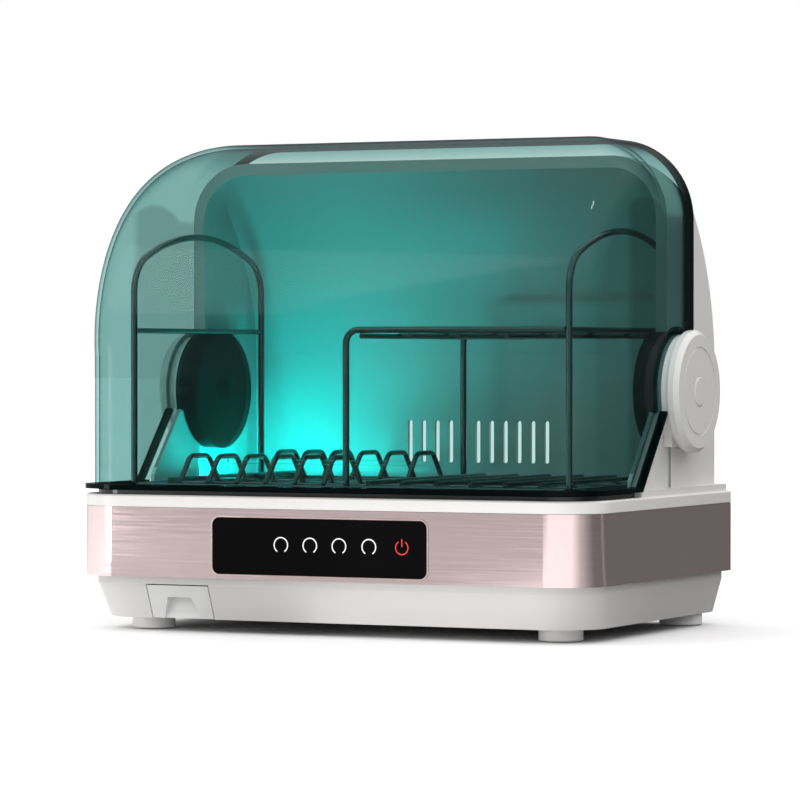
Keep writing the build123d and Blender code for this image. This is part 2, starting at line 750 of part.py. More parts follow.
# ------------------------------------------------------------------ lamp
well_top_z = pan_floor_z + island_height
trough_flange_z = well_top_z + fit
lamp_z = trough_flange_z - lamp_radius - 0.6
trough_depth = 2 * lamp_radius + 3.0
trough_inner = (lamp_well[0] - 2 * well_rim - 2 * fit - 2 * sheet, lamp_well[1] - 2 * well_rim - 2 * fit - 2 * sheet)
socket_width = (trough_inner[0] - lamp_length) / 2 - 2 * fit
lamp_axis = Plane(origin=(lamp_x, lamp_y, lamp_z), x_dir=(0, 1, 0), z_dir=(1, 0, 0))

with BuildPart() as lamp_trough:
    with BuildSketch(Plane.XY.offset(trough_flange_z)):
        with Locations((lamp_x, lamp_y)):
            RectangleRounded(lamp_well[0] + 5, lamp_well[1] + 5, 8)
    extrude(amount=sheet)
    with BuildSketch(Plane.XY.offset(trough_flange_z - trough_depth)):
        with Locations((lamp_x, lamp_y)):
            RectangleRounded(trough_inner[0] + 2 * sheet, trough_inner[1] + 2 * sheet, 4)
    extrude(amount=trough_depth)
    with BuildSketch(Plane.XY.offset(trough_flange_z - trough_depth + sheet)):
        with Locations((lamp_x, lamp_y)):
            RectangleRounded(trough_inner[0], trough_inner[1], 3)
    extrude(amount=2 * trough_depth, mode=Mode.SUBTRACT)
lamp_trough.part.label = "lamp_trough"
export_step(lamp_trough.part, "parts/lamp_trough.step")

with BuildPart() as uv_lamp:
    with BuildSketch(lamp_axis):
        Circle(lamp_radius - 0.4)
    extrude(amount=lamp_length / 2, both=True)
    cap_length = 7.0
    for end in (-1, 1):
        with BuildSketch(lamp_axis.offset(end * (lamp_length / 2 - cap_length / 2))):
            Circle(lamp_radius)
        extrude(amount=cap_length / 2, both=True)
uv_lamp.part.label = "uv_lamp"
export_step(uv_lamp.part, "parts/uv_lamp.step")

for end, name in ((-1, "left"), (1, "right")):
    with BuildPart() as lamp_socket:
        socket_foot_z = trough_flange_z - trough_depth + sheet
        socket_x = lamp_x + end * (lamp_length / 2 + fit + socket_width / 2)
        with BuildSketch(Plane.XY.offset(socket_foot_z)):
            with Locations((socket_x, lamp_y)):
                Rectangle(socket_width, 2 * lamp_radius + 2)
        extrude(amount=trough_flange_z - socket_foot_z)
        fillet(lamp_socket.edges().filter_by(Axis.X).group_by(Axis.Z)[-1], 4)
    lamp_socket.part.label = f"lamp_socket_{name}"
    export_step(lamp_socket.part, f"parts/lamp_socket_{name}.step")

guard_z = trough_flange_z + sheet
guard_slats = 15
with BuildPart() as lamp_guard:
    with BuildSketch(Plane.XY.offset(guard_z)):
        with Locations((lamp_x, lamp_y)):
            RectangleRounded(lamp_well[0] + 4, lamp_well[1] + 4, 7)
            with GridLocations(lamp_length / guard_slats, 0, guard_slats, 1):
                SlotOverall(lamp_well[1] - 8, lamp_length / guard_slats - 3, rotation=90, mode=Mode.SUBTRACT)
    extrude(amount=1.6)
lamp_guard.part.label = "lamp_guard"
export_step(lamp_guard.part, "parts/lamp_guard.step")

# ================================================================== warm air
# ------------------------------------------------------------------ fan
fan_z = cover_z + fit
strut_height = 3.0
motor_radius = 14.0
motor_height = 5.0
shaft_radius = 2.0
impeller_z = fan_z + strut_height + motor_height + 0.8
impeller_height = fan_depth - strut_height - motor_height - 1.6
blade_radius = fan_bore - 1.5

with BuildPart() as fan_housing:
    with BuildSketch(Plane.XY.offset(fan_z)):
        with Locations((fan_x, fan_y)):
            RectangleRounded(fan_size, fan_size, 6)
    extrude(amount=fan_depth)
    with BuildSketch(Plane.XY.offset(fan_z)):
        with Locations((fan_x, fan_y)):
            Circle(fan_bore)
            with GridLocations(fan_size - 10, fan_size - 10, 2, 2):
                Circle(2.2)
    extrude(amount=fan_depth, mode=Mode.SUBTRACT)
    with BuildSketch(Plane.XY.offset(fan_z)):
        with Locations((fan_x, fan_y)):
            Circle(motor_radius + 1)
            with PolarLocations(fan_bore / 2 + 1, 4):
                Rectangle(fan_bore + 2, 5)
    extrude(amount=strut_height)
fan_housing.part.label = "fan_housing"
export_step(fan_housing.part, "parts/fan_housing.step")

with BuildPart() as fan_motor:
    with Locations((fan_x, fan_y, fan_z + strut_height)):
        Cylinder(motor_radius, motor_height, align=(Align.CENTER, Align.CENTER, Align.MIN))
        Cylinder(shaft_radius, fan_depth - strut_height - 2, align=(Align.CENTER, Align.CENTER, Align.MIN))
fan_motor.part.label = "fan_motor"
export_step(fan_motor.part, "parts/fan_motor.step")

with BuildPart() as fan_impeller:
    with Locations((fan_x, fan_y, impeller_z)):
        with PolarLocations((hub_radius + blade_radius) / 2, blade_count):
            Box(blade_radius - hub_radius + 6, 1.6, 2 * impeller_height, rotation=(52, 0, 0),
                align=(Align.CENTER, Align.CENTER, Align.CENTER))
    with BuildSketch(Plane.XY.offset(impeller_z)):
        with Locations((fan_x, fan_y)):
            Circle(blade_radius)
    extrude(amount=impeller_height, mode=Mode.INTERSECT)
    with Locations((fan_x, fan_y, impeller_z)):
        Cylinder(hub_radius, impeller_height, align=(Align.CENTER, Align.CENTER, Align.MIN))
        Cylinder(shaft_radius + running_clearance, 6 * impeller_height, mode=Mode.SUBTRACT)
fan_impeller.part.label = "fan_impeller"
export_step(fan_impeller.part, "parts/fan_impeller.step")

# ------------------------------------------------------------------ duct, heater and hood
duct_z = fan_z + fan_depth + fit
duct_top_z = pan_floor_z - sheet - fit
heater_z = duct_z + 20.0
heater_height = 16.0
heater_width = 62.0
fin_count = 13

with BuildPart() as air_duct:
    with BuildSketch(Plane.XY.offset(duct_z)):
        with Locations((fan_x, fan_y)):
            Circle(duct_radius)
    extrude(amount=duct_top_z - duct_z)
    with BuildSketch(Plane.XY.offset(duct_z)):
        with Locations((fan_x, fan_y)):
            Circle(duct_radius - duct_wall)
    extrude(amount=duct_top_z - duct_z, mode=Mode.SUBTRACT)
    # two ledges for the heater frame
    with BuildSketch(Plane.XY.offset(heater_z - 3)):
        with Locations((fan_x, fan_y)):
            Circle(duct_radius - duct_wall / 2)
            Rectangle(2 * duct_radius, heater_width - 14, mode=Mode.SUBTRACT)
    extrude(amount=2.7)
air_duct.part.label = "air_duct"
export_step(air_duct.part, "parts/air_duct.step")

with BuildPart() as heater_frame:
    with BuildSketch(Plane.XY.offset(heater_z)):
        with Locations((fan_x, fan_y)):
            Rectangle(heater_width - 8, heater_width)
            Rectangle(heater_width - 16, heater_width - 8, mode=Mode.SUBTRACT)
    extrude(amount=heater_height)
heater_frame.part.label = "heater_frame"
export_step(heater_frame.part, "parts/heater_frame.step")

with BuildPart() as heater_core:
    core_length = heater_width - 8 - 2 * fit
    core_width = heater_width - 16 - 2 * fit
    with BuildSketch(Plane.XY.offset(heater_z + 2)):
        with Locations((fan_x, fan_y)):
            with GridLocations(0, core_length / (fin_count - 1) - 1.2 / (fin_count - 1), 1, fin_count):
                Rectangle(core_width, 1.2)
            with GridLocations(core_width - 2.4, 0, 2, 1):
                Rectangle(2.4, core_length)
            Rectangle(4, core_length)
    extrude(amount=heater_height - 4)
heater_core.part.label = "heater_core"
export_step(heater_core.part, "parts/heater_core.step")

hood_z = well_top_z + fit
hood_radius = air_island_radius + 3.0
louvre_count = 24
with BuildPart() as air_hood:
    with BuildSketch(Plane.XY.offset(hood_z)):
        with Locations((fan_x, fan_y)):
            Circle(hood_radius)
    extrude(amount=5)
    fillet(air_hood.edges().group_by(Axis.Z)[-1], 1.5)
    with BuildSketch(Plane.XY.offset(hood_z)):
        with Locations((fan_x, fan_y)):
            Circle(air_island_radius - well_rim - 4)
    extrude(amount=3.6, mode=Mode.SUBTRACT)
    with BuildSketch(Plane.XY.offset(hood_z + 1)):
        with Locations((fan_x, fan_y)):
            with PolarLocations(air_island_radius, louvre_count):
                Rectangle(16, 5.5)
    extrude(amount=2.6, mode=Mode.SUBTRACT)
air_hood.part.label = "air_hood"
export_step(air_hood.part, "parts/air_hood.step")

# ------------------------------------------------------------------ circuit boards
def board(centre, size, blocks):
    """A circuit board on its standoffs with (x, y, width, depth, height) blocks on it."""
    with BuildPart(mode=Mode.PRIVATE) as plate:
        with BuildSketch(Plane.XY.offset(cover_z + standoff_height)):
            with Locations(centre):
                Rectangle(*size)
        extrude(amount=board_thickness)
        for x, y, width, depth, height in blocks:
            with BuildSketch(Plane.XY.offset(cover_z + standoff_height + board_thickness)):
                with Locations((centre[0] + x, centre[1] + y)):
                    Rectangle(width, depth)
            extrude(amount=height)
    return plate.part


with BuildPart() as power_board:
    add(board(power_board_at, power_board_size,
              [(-34, 10, 26, 22, 20), (0, 14, 18, 18, 24), (30, 12, 20, 26, 15), (-20, -18, 46, 8, 10),
               (30, -18, 24, 10, 12)]))
power_board.part.label = "power_board"
export_step(power_board.part, "parts/power_board.step")

with BuildPart() as lamp_ballast:
    add(board(ballast_at, ballast_size, [(-12, 4, 18, 18, 16), (12, 6, 14, 14, 12), (2, -13, 40, 6, 8)]))
lamp_ballast.part.label = "lamp_ballast"
export_step(lamp_ballast.part, "parts/lamp_ballast.step")

# ------------------------------------------------------------------ lid switch
switch_x = 160.0
magnet_radius = 4.0
magnet_height = 2.4
magnet_y = (lip_front_y + dome_front_y) / 2

with BuildPart() as reed_switch:
    with BuildSketch(Plane.XY.offset(deck_z - wall - fit - 5)):
        with Locations((switch_x, magnet_y + 10)):
            Rectangle(18, 5)
    extrude(amount=5)
reed_switch.part.label = "reed_switch"
export_step(reed_switch.part, "parts/reed_switch.step")

# ================================================================== rear housing
housing_shoulder_z = (platform_z + housing_foot_rise
                      + (housing_rim_y - housing_foot_y) * tan(radians(edge_slope)))
housing_roof_y = housing_rim_y + 11.0
housing_edge = 6.0
cradle_radius = drum_radius + 0.4
hub_sweep_radius = hub_ring_radius + 2.5
hub_sweep = (-21.0, 221.0)      # degrees swept by the hub's skirt, from the front over the top
exhaust_count = 11
exhaust_pitch = 12.0
exhaust_z = 140.0
pilaster_half_width = 16.0
pilaster_proud = 1.8
collar_z = 140.0
collar_height = 10.0
collar_half_width = 26.0


def housing_front(inset, foot_z):
    """Front outline of the housing, round at its two upper corners."""
    with BuildSketch(mode=Mode.PRIVATE) as outline:
        with Locations((0, foot_z)):
            Rectangle(2 * (housing_half_width - inset), housing_top_z - inset - foot_z,
                      align=(Align.CENTER, Align.MIN))
        fillet(outline.vertices().group_by(Axis.Y)[-1], housing_roof_corner - inset)
    return outline.sketch


def swept_sector(radius):
    """Side outline of the sector about the hinge axis that the lid's hub sweeps."""
    start, end = (radians(180 - angle) for angle in hub_sweep)
    middle = (start + end) / 2
    rim = [(hinge_y + radius * cos(a), hinge_z + radius * sin(a)) for a in (start, middle, end)]
    with BuildSketch(mode=Mode.PRIVATE) as outline:
        with BuildLine():
            Line((hinge_y, hinge_z), rim[0])
            ThreePointArc(*rim)
            Line(rim[2], (hinge_y, hinge_z))
        make_face()
    return outline.sketch


# the room inside the housing, open to the front and below
with BuildPart() as housing_room:
    with BuildSketch(Plane.YZ):
        with BuildLine():
            shoulder_inner = (housing_shoulder[0] - 0.8 * wall, housing_shoulder[1] - 0.6 * wall)
            roof_inner = (housing_roof_y, housing_top_z - wall)
            back_inner = (housing_back_y - wall, housing_back_top_z)
            Polyline(back_inner, (housing_back_y - wall, platform_z - wall),
                     (2 * housing_foot_y, platform_z - wall), (2 * housing_foot_y, housing_top_z - wall), roof_inner)
            ThreePointArc(roof_inner, shoulder_inner, back_inner)
        make_face()
    extrude(amount=housing_half_width - wall, both=True)
    with BuildSketch(Plane.XZ.offset(-2 * housing_foot_y)):
        add(housing_front(wall, platform_z - wall))
    extrude(amount=-base_depth, mode=Mode.INTERSECT)

with BuildPart() as rear_housing:
    with BuildSketch(Plane.YZ):
        with BuildLine():
            Polyline((housing_back_y, housing_back_top_z), (housing_back_y, platform_z),
                     (housing_foot_y, platform_z), (housing_foot_y, platform_z + housing_foot_rise),
                     (housing_rim_y, housing_shoulder_z),
                     (housing_rim_y, housing_top_z), (housing_roof_y, housing_top_z))
            ThreePointArc((housing_roof_y, housing_top_z), housing_shoulder, (housing_back_y, housing_back_top_z))
        make_face()
    extrude(amount=housing_half_width, both=True)
    with BuildSketch(Plane.XZ.offset(-housing_foot_y + wall)):
        add(housing_front(0, platform_z))
    extrude(amount=-base_depth, mode=Mode.INTERSECT)
    upright = rear_housing.edges().filter_by(Axis.Z).group_by(Axis.Y)[-1]
    fillet(upright, housing_edge)
    add(housing_room.part, mode=Mode.SUBTRACT)
    # ring round the front opening
    with BuildSketch(Plane.XZ.offset(-housing_rim_y)):
        add(housing_front(0, housing_shoulder_z))
        add(housing_front(housing_ring, housing_shoulder_z - 1), mode=Mode.SUBTRACT)
    extrude(amount=-wall)
    # pilasters under the hinge drums
    for side in (-1, 1):
        with BuildSketch(Plane.YZ.offset(side * (housing_half_width - wall / 2))):
            with Locations((hinge_y, platform_z)):
                Rectangle(2 * pilaster_half_width, collar_z - fit - platform_z, align=(Align.CENTER, Align.MIN))
        extrude(amount=side * (wall / 2 + pilaster_proud))
    # room for the drums and for the sweep of the hubs
    for side in (-1, 1):
        hub_inner_x = drum_inner_x - 6
        with BuildSketch(Plane.YZ.offset(side * hub_inner_x)):
            with Locations((hinge_y, hinge_z)):
                Circle(hub_sweep_radius)
        extrude(amount=side * (housing_half_width - wall - 0.4 - hub_inner_x), mode=Mode.SUBTRACT)
        with BuildSketch(Plane.YZ.offset(side * hub_inner_x)):
            add(swept_sector(hub_sweep_radius))
            with Locations((hinge_y, hinge_z)):
                Circle(cradle_radius)
        extrude(amount=side * 30, mode=Mode.SUBTRACT)
    # damp air leaves through slots low in the back
    with BuildSketch(Plane.XZ.offset(-housing_back_y)):
        with Locations((0, exhaust_z)):
            with GridLocations(exhaust_pitch, 0, exhaust_count, 1):
                SlotOverall(34, 4, rotation=90)
    extrude(amount=2 * wall, mode=Mode.SUBTRACT)
rear_housing.part.label = "rear_housing"
export_step(rear_housing.part, "parts/rear_housing.step")

# ================================================================== lid
edge_run = cos(radians(edge_slope))
edge_rise = sin(radians(edge_slope))
edge_thickness = 3.0
edge_inner = 1.4
lip_corner = front_corner - 1.0
dome_core = 12.0


def edge_point(radius):
    """Where the slanted edge line of the side panel comes within `radius` of the hinge axis."""
    y, z = edge_foot_y - hinge_y, lip_z - hinge_z
    along = -(y * edge_run + z * edge_rise)
    along -= sqrt(radius ** 2 - (y ** 2 + z ** 2 - along ** 2))
    return edge_foot_y + along * edge_run, lip_z + along * edge_rise


def behind_edge():
    """Side outline of what is cut away behind the slanted edge and under the hinge."""
    below = lip_z - 20
    foot = (edge_foot_y - 20 * edge_run / edge_rise, below)
    return side_profile([foot, edge_point(notch_radius - 1), (hinge_y, hinge_z),
                         (dome_rear_y + 30, hinge_z), (dome_rear_y + 30, below)])


def dome_corner(turn):
    """Corner radius of the dome, from its front (0) to its roof (1)."""
    return (dome_front_corner * (1 - turn) ** 2 + 2 * dome_middle_corner * turn * (1 - turn)
            + dome_roof_corner * turn ** 2)


def dome_solid(inset, overrun):
    """The dome filled solid, its skin moved in by inset, run out below and behind by overrun."""
    half = dome_half_width - inset
    depth = crown_y - dome_front_y - inset
    rise = dome_top_z - crown_z - inset
    with BuildPart(mode=Mode.PRIVATE) as solid:
        # crown: sections fanned about the crown's centre from front to roof
        for i in range(dome_sections):
            turn = i / (dome_sections - 1)
            y, z = depth * cos(radians(90 * turn)), rise * sin(radians(90 * turn))
            reach = hypot(y, z)
            fan = Plane(origin=(0, crown_y, crown_z), x_dir=(1, 0, 0), z_dir=(0, -z / reach, -y / reach))
            with BuildSketch(fan) as section:
                with Locations((0, dome_core)):
                    Rectangle(2 * half, reach - dome_core, align=(Align.CENTER, Align.MIN))
                fillet(section.vertices().group_by(Axis.Y)[-1], dome_corner(turn) - inset)
        loft()
        # front wall
        with BuildSketch(Plane.XY.offset(lip_z - overrun)) as section:
            with Locations((0, dome_front_y + inset)):
                Rectangle(2 * half, depth + dome_core / 2, align=(Align.CENTER, Align.MIN))
            fillet(section.vertices().group_by(Axis.Y)[0], dome_front_corner - inset)
        extrude(amount=crown_z - lip_z + overrun)
        # roof behind the crown
        with BuildSketch(Plane.XZ.offset(-crown_y)) as section:
            with Locations((0, lip_z - overrun)):
                Rectangle(2 * half, dome_top_z - inset - lip_z + overrun, align=(Align.CENTER, Align.MIN))
            fillet(section.vertices().group_by(Axis.Y)[-1], dome_roof_corner - inset)
        extrude(amount=-(dome_rear_y - crown_y + overrun))
        # core of the fan
        with BuildSketch(Plane.YZ):
            with Locations((crown_y, crown_z)):
                Circle(dome_core + 1)
        extrude(amount=half, both=True)
    return solid.part


with BuildPart() as lid_shell:
    add(dome_solid(0, 0))
    add(dome_solid(dome_wall, 30), mode=Mode.SUBTRACT)
    with BuildSketch(Plane.YZ):
        add(behind_edge())
        with Locations((hinge_y, hinge_z)):
            Circle(notch_radius)
    extrude(amount=base_width, both=True, mode=Mode.SUBTRACT)
    # lip along the front and both sides
    with BuildSketch(Plane.XY.offset(lip_z)) as lip:
        with Locations((0, lip_front_y)):
            Rectangle(2 * lip_half_width, edge_foot_y - lip_front_y, align=(Align.CENTER, Align.MIN))
        fillet(lip.vertices().group_by(Axis.Y)[0], lip_corner)
        with Locations((0, dome_front_y + dome_wall)):
            with BuildSketch(mode=Mode.PRIVATE) as lip_hole:
                Rectangle(2 * (dome_half_width - dome_wall), base_depth, align=(Align.CENTER, Align.MIN))
                fillet(lip_hole.vertices().group_by(Axis.Y)[0], dome_front_corner - dome_wall)
            add(lip_hole.sketch, mode=Mode.SUBTRACT)
    extrude(amount=lip_height)
    # flange along the slanted edges
    flange_top = edge_point(hub_ring_radius + 0.5)
    offset_y, offset_z = -edge_rise * edge_thickness, edge_run * edge_thickness
    for side in (-1, 1):
        with BuildSketch(Plane.YZ.offset(side * (dome_half_width - dome_wall - edge_inner))):
            add(side_profile([(edge_foot_y, lip_z), flange_top,
                              (flange_top[0] + offset_y, flange_top[1] + offset_z),
                              (edge_foot_y + offset_y, lip_z + offset_z)]))
        extrude(amount=side * (lip_half_width - dome_half_width + dome_wall + edge_inner))
    # grip ledge across the front
    with BuildSketch(Plane.XY.offset(handle_z - 1.5)) as ledge:
        with Locations((0, dome_front_y + 1)):
            Rectangle(handle_width, handle_reach + 1, align=(Align.CENTER, Align.MAX))
        fillet(ledge.vertices().group_by(Axis.Y)[0], handle_reach - 1)
    extrude(amount=3)
    # pocket for the magnet
    with BuildSketch(Plane.XY.offset(lip_z)):
        with Locations((switch_x, magnet_y)):
            Circle(magnet_radius + 0.1)
    extrude(amount=magnet_height + 0.2, mode=Mode.SUBTRACT)
lid_shell.part.label = "lid_shell"
export_step(lid_shell.part, "parts/lid_shell.step")

with BuildPart() as lid_magnet:
    with BuildSketch(Plane.XY.offset(lip_z + 0.1)):
        with Locations((switch_x, magnet_y)):
            Circle(magnet_radius)
    extrude(amount=magnet_height)
lid_magnet.part.label = "lid_magnet"
export_step(lid_magnet.part, "parts/lid_magnet.step")

# ================================================================== hinge
pin_bore = pin_radius + running_clearance
bush_radius = pin_bore + bush_wall
hub_gap = 1.0                   # between the hub's disc and the drum, filled by the bush's flange
hub_x = drum_inner_x - hub_gap - hub_disc
hub_face_x = hub_x + hub_disc
hub_ring_end_x = housing_half_width - wall - 0.8
hub_skirt_end_x = dome_half_width - dome_wall - 0.1
drum_web = 3.0
drum_boss_radius = 18.0
pin_seat_x = drum_outer_x - 4.2
pin_tip_x = hub_x + 0.5
flange_gap = 0.2

with BuildPart() as lid_hub:
    add(turned([(hub_x, 0), (hub_x, hub_ring_radius - 1.5), (hub_x + 1.5, hub_ring_radius),
                (hub_ring_end_x, hub_ring_radius), (hub_ring_end_x, notch_radius + 0.2),
                (hub_face_x, notch_radius + 0.2), (hub_face_x, pin_bore), (pin_tip_x - 0.1, pin_bore),
                (pin_tip_x - 0.1, 0)]))
    with BuildSketch(Plane.YZ.offset(hub_ring_end_x)):
        with Locations((hinge_y, hinge_z)):
            Circle(hub_ring_radius)
            Circle(notch_radius + 0.2, mode=Mode.SUBTRACT)
        add(behind_edge(), mode=Mode.SUBTRACT)
        with Locations((dome_rear_y - 1, hinge_z)):
            Rectangle(hub_ring_radius, 3 * hub_ring_radius, align=(Align.MIN, Align.CENTER), mode=Mode.SUBTRACT)
    extrude(amount=hub_skirt_end_x - hub_ring_end_x)
write_pair(lid_hub, "lid_hub")

with BuildPart() as hinge_bush:
    flange_x = hub_face_x + flange_gap
    add(turned([(flange_x, pin_bore), (flange_x, bush_radius + 3), (drum_inner_x - flange_gap, bush_radius + 3),
                (drum_inner_x - flange_gap, bush_radius), (pin_seat_x, bush_radius), (pin_seat_x, pin_bore)]))
write_pair(hinge_bush, "hinge_bush")

with BuildPart() as hinge_pin:
    head_x = pin_seat_x + 0.2
    add(turned([(pin_tip_x, 0), (pin_tip_x, pin_radius), (head_x, pin_radius), (head_x, pin_head_radius),
                (head_x + pin_head - 0.6, pin_head_radius), (head_x + pin_head, pin_head_radius - 0.6),
                (head_x + pin_head, 0)]))
write_pair(hinge_pin, "hinge_pin")

with BuildPart() as hinge_drum:
    # saddle that stands on the pilaster
    collar_x = housing_half_width + fit
    with BuildSketch(Plane.YZ.offset(collar_x)):
        with Locations((hinge_y, collar_z)):
            Rectangle(2 * collar_half_width, collar_height + 3, align=(Align.CENTER, Align.MIN))
        with Locations((hinge_y, hinge_z)):
            Circle(drum_radius - wall / 2, mode=Mode.SUBTRACT)
    extrude(amount=6.5)
    boss_end_x = drum_outer_x - 0.4
    drum_bore = bush_radius + 0.05
    add(turned([(drum_inner_x, drum_bore), (drum_inner_x, drum_radius), (drum_outer_x, drum_radius),
                (drum_outer_x, drum_radius - wall), (drum_inner_x + drum_web, drum_radius - wall),
                (drum_inner_x + drum_web, drum_boss_radius), (boss_end_x, drum_boss_radius),
                (boss_end_x, pin_head_radius + 1.5), (pin_seat_x + 0.1, pin_head_radius + 1.5),
                (pin_seat_x + 0.1, drum_bore)]))
    with BuildSketch(Plane.YZ.offset(drum_inner_x + drum_web / 2)):
        with Locations((hinge_y, hinge_z)):
            with PolarLocations((drum_boss_radius + drum_radius - wall / 2) / 2, 6):
                Rectangle(drum_radius - wall / 2 - drum_boss_radius, 2)
    extrude(amount=14)
write_pair(hinge_drum, "hinge_drum")

cap_x = drum_outer_x + 0.2
cap_face_x = cap_x + cap_depth
groove = 0.8
button_seat_x = cap_face_x - 2.4

with BuildPart() as hinge_cap:
    spigot_x = cap_x - 6.0
    spigot_radius = drum_radius - wall - fit
    add(turned([(cap_face_x, cap_face_radius), (cap_face_x, cap_groove_radius + groove),
                (cap_face_x - groove, cap_groove_radius + groove), (cap_face_x - groove, cap_groove_radius - groove),
                (cap_face_x, cap_groove_radius - groove), (cap_face_x, button_radius + fit),
                (button_seat_x, button_radius + fit), (button_seat_x, 0), (button_seat_x - 2.4, 0),
                (button_seat_x - 2.4, spigot_radius - 1.8), (spigot_x, spigot_radius - 1.8),
                (spigot_x, spigot_radius), (cap_x, spigot_radius), (cap_x, cap_radius),
                (cap_x + cap_rim, cap_radius)]))
write_pair(hinge_cap, "hinge_cap")

with BuildPart() as cap_button:
    button_face_x = cap_face_x + button_proud
    add(turned([(button_seat_x + 0.1, 0), (button_seat_x + 0.1, button_radius),
                (cap_face_x + 0.1, button_radius), (button_face_x, button_radius - 1.4), (button_face_x, 0)]))
write_pair(cap_button, "cap_button")

# ================================================================== rack
rack_middle_y = (rack_front_y + rack_rear_y) / 2
rack_half_depth = (rack_rear_y - rack_front_y) / 2
arch_rise = hoop_apex_z - wire_radius - hoop_spring_z
arch_radius = ((rack_half_depth ** 2 + arch_rise ** 2 - 2 * rack_half_depth * hoop_haunch)
               / (2 * (arch_rise - hoop_haunch)))
haunch_turn = degrees(atan2(arch_radius - arch_rise, rack_half_depth - hoop_haunch))
rack_foot_z = tray_top_z + 0.1
wire_end_x = hoop_x - wire_radius - fit

with BuildPart() as rack_hoop:
    with BuildLine(Plane.YZ.offset(hoop_x)) as hoop_path:
        front_leg = Line((rack_front_y, rack_foot_z), (rack_front_y, hoop_spring_z))
        haunch = JernArc(front_leg @ 1, (0, 1), hoop_haunch, -haunch_turn)
        arch = JernArc(haunch @ 1, haunch % 1, arch_radius, -(180 - 2 * haunch_turn))
        rear_haunch = JernArc(arch @ 1, arch % 1, hoop_haunch, -haunch_turn)
        Line(rear_haunch @ 1, (rack_rear_y, rack_foot_z))
    with BuildSketch(Plane((hoop_x, rack_front_y, rack_foot_z))):
        Circle(wire_radius)
    sweep(path=hoop_path.wires()[0])
    with BuildSketch(Plane.XZ.offset(-rack_front_y)):
        with Locations((hoop_x, shelf_z), (hoop_x, rack_floor_z)):
            Circle(thin_wire_radius)
    extrude(amount=-(rack_rear_y - rack_front_y))
write_pair(rack_hoop, "rack_hoop")

long_wire_ys = (rack_front_y, rack_front_y + divider_depth, rack_rear_y - divider_depth, rack_rear_y)
cup_wire_xs = [18.0 + 28.0 * i for i in range(6)]
rack_foot_x = hoop_x - 31.0

weld = 0.05                     # wires that are welded where they cross lie this close
cross_wire_z = rack_floor_z + 2 * thin_wire_radius + weld
divider_foot_z = rack_floor_z + thin_wire_radius + weld

with BuildPart() as rack_base:
    with BuildSketch(Plane.YZ.offset(-wire_end_x)):
        with Locations(*[(y, rack_floor_z) for y in long_wire_ys]):
            Circle(thin_wire_radius)
    extrude(amount=2 * wire_end_x)
    with BuildSketch(Plane.XZ.offset(-rack_front_y)):
        with Locations(*[(x, cross_wire_z) for x in cup_wire_xs + [-rack_foot_x]]):
            Circle(thin_wire_radius)
    extrude(amount=-(rack_rear_y - rack_front_y))
    with BuildSketch(Plane.XY.offset(rack_foot_z)):
        with Locations(*[(x, y) for x in (-rack_foot_x, rack_foot_x) for y in (rack_front_y, rack_rear_y)]):
            Circle(thin_wire_radius)
    extrude(amount=rack_floor_z - thin_wire_radius - weld - rack_foot_z)
rack_base.part.label = "rack_base"
export_step(rack_base.part, "parts/rack_base.step")

# arches that stand the plates on edge, a front row and a rear row
for row, (y0, y1) in (("front", long_wire_ys[:2]), ("rear", long_wire_ys[2:])):
    with BuildPart() as dividers:
        for i in range(divider_count):
            x = divider_first_x - i * divider_pitch
            top = divider_top_z - thin_wire_radius
            with BuildLine(Plane.YZ.offset(x)) as divider_path:
                FilletPolyline((y0, divider_foot_z), (y0 + divider_lean, top), (y1 - divider_lean, top),
                               (y1, divider_foot_z), radius=divider_corner)
            with BuildSketch(Plane(origin=(x, y0, divider_foot_z), z_dir=(0, divider_lean, top - divider_foot_z))):
                Circle(thin_wire_radius)
            sweep(path=divider_path.wires()[0])
        # feet cut level where they are welded to the long wires
        with BuildSketch(Plane.XY.offset(divider_foot_z)):
            Rectangle(base_width, base_depth)
        extrude(amount=-2 * wire_radius, mode=Mode.SUBTRACT)
    dividers.part.label = f"plate_dividers_{row}"
    export_step(dividers.part, f"parts/plate_dividers_{row}.step")

shelf_foot_z = rack_floor_z + thin_wire_radius + 0.1
shelf_left_x = 0.0
shelf_bar_first_x = shelf_left_x + shelf_corner + 3
shelf_bar_last_x = wire_end_x - 8
shelf_rail_ys = (rack_middle_y - 36, rack_middle_y + 36)

with BuildPart() as bowl_shelf:
    for y in (rack_front_y, rack_rear_y):
        with BuildLine(Plane.XZ.offset(-y)) as rail_path:
            FilletPolyline((shelf_left_x, shelf_foot_z), (shelf_left_x, shelf_z), (wire_end_x, shelf_z),
                           radius=shelf_corner)
        with BuildSketch(Plane((shelf_left_x, y, shelf_foot_z))):
            Circle(wire_radius)
        sweep(path=rail_path.wires()[0])
    bar_pitch = (shelf_bar_last_x - shelf_bar_first_x) / shelf_bars
    bar_z = shelf_z - wire_radius - thin_wire_radius - weld
    with BuildSketch(Plane.XZ.offset(-rack_front_y)):
        with Locations(*[(shelf_bar_first_x + i * bar_pitch, bar_z) for i in range(shelf_bars + 1)]):
            Circle(thin_wire_radius)
    extrude(amount=-(rack_rear_y - rack_front_y))
    with BuildSketch(Plane.YZ.offset(shelf_bar_first_x - thin_wire_radius)):
        with Locations(*[(y, bar_z + 2 * thin_wire_radius + weld) for y in shelf_rail_ys]):
            Circle(thin_wire_radius)
    extrude(amount=hoop_x - thin_wire_radius - fit - shelf_bar_first_x + thin_wire_radius)
bowl_shelf.part.label = "bowl_shelf"
export_step(bowl_shelf.part, "parts/bowl_shelf.step")
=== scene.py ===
import math

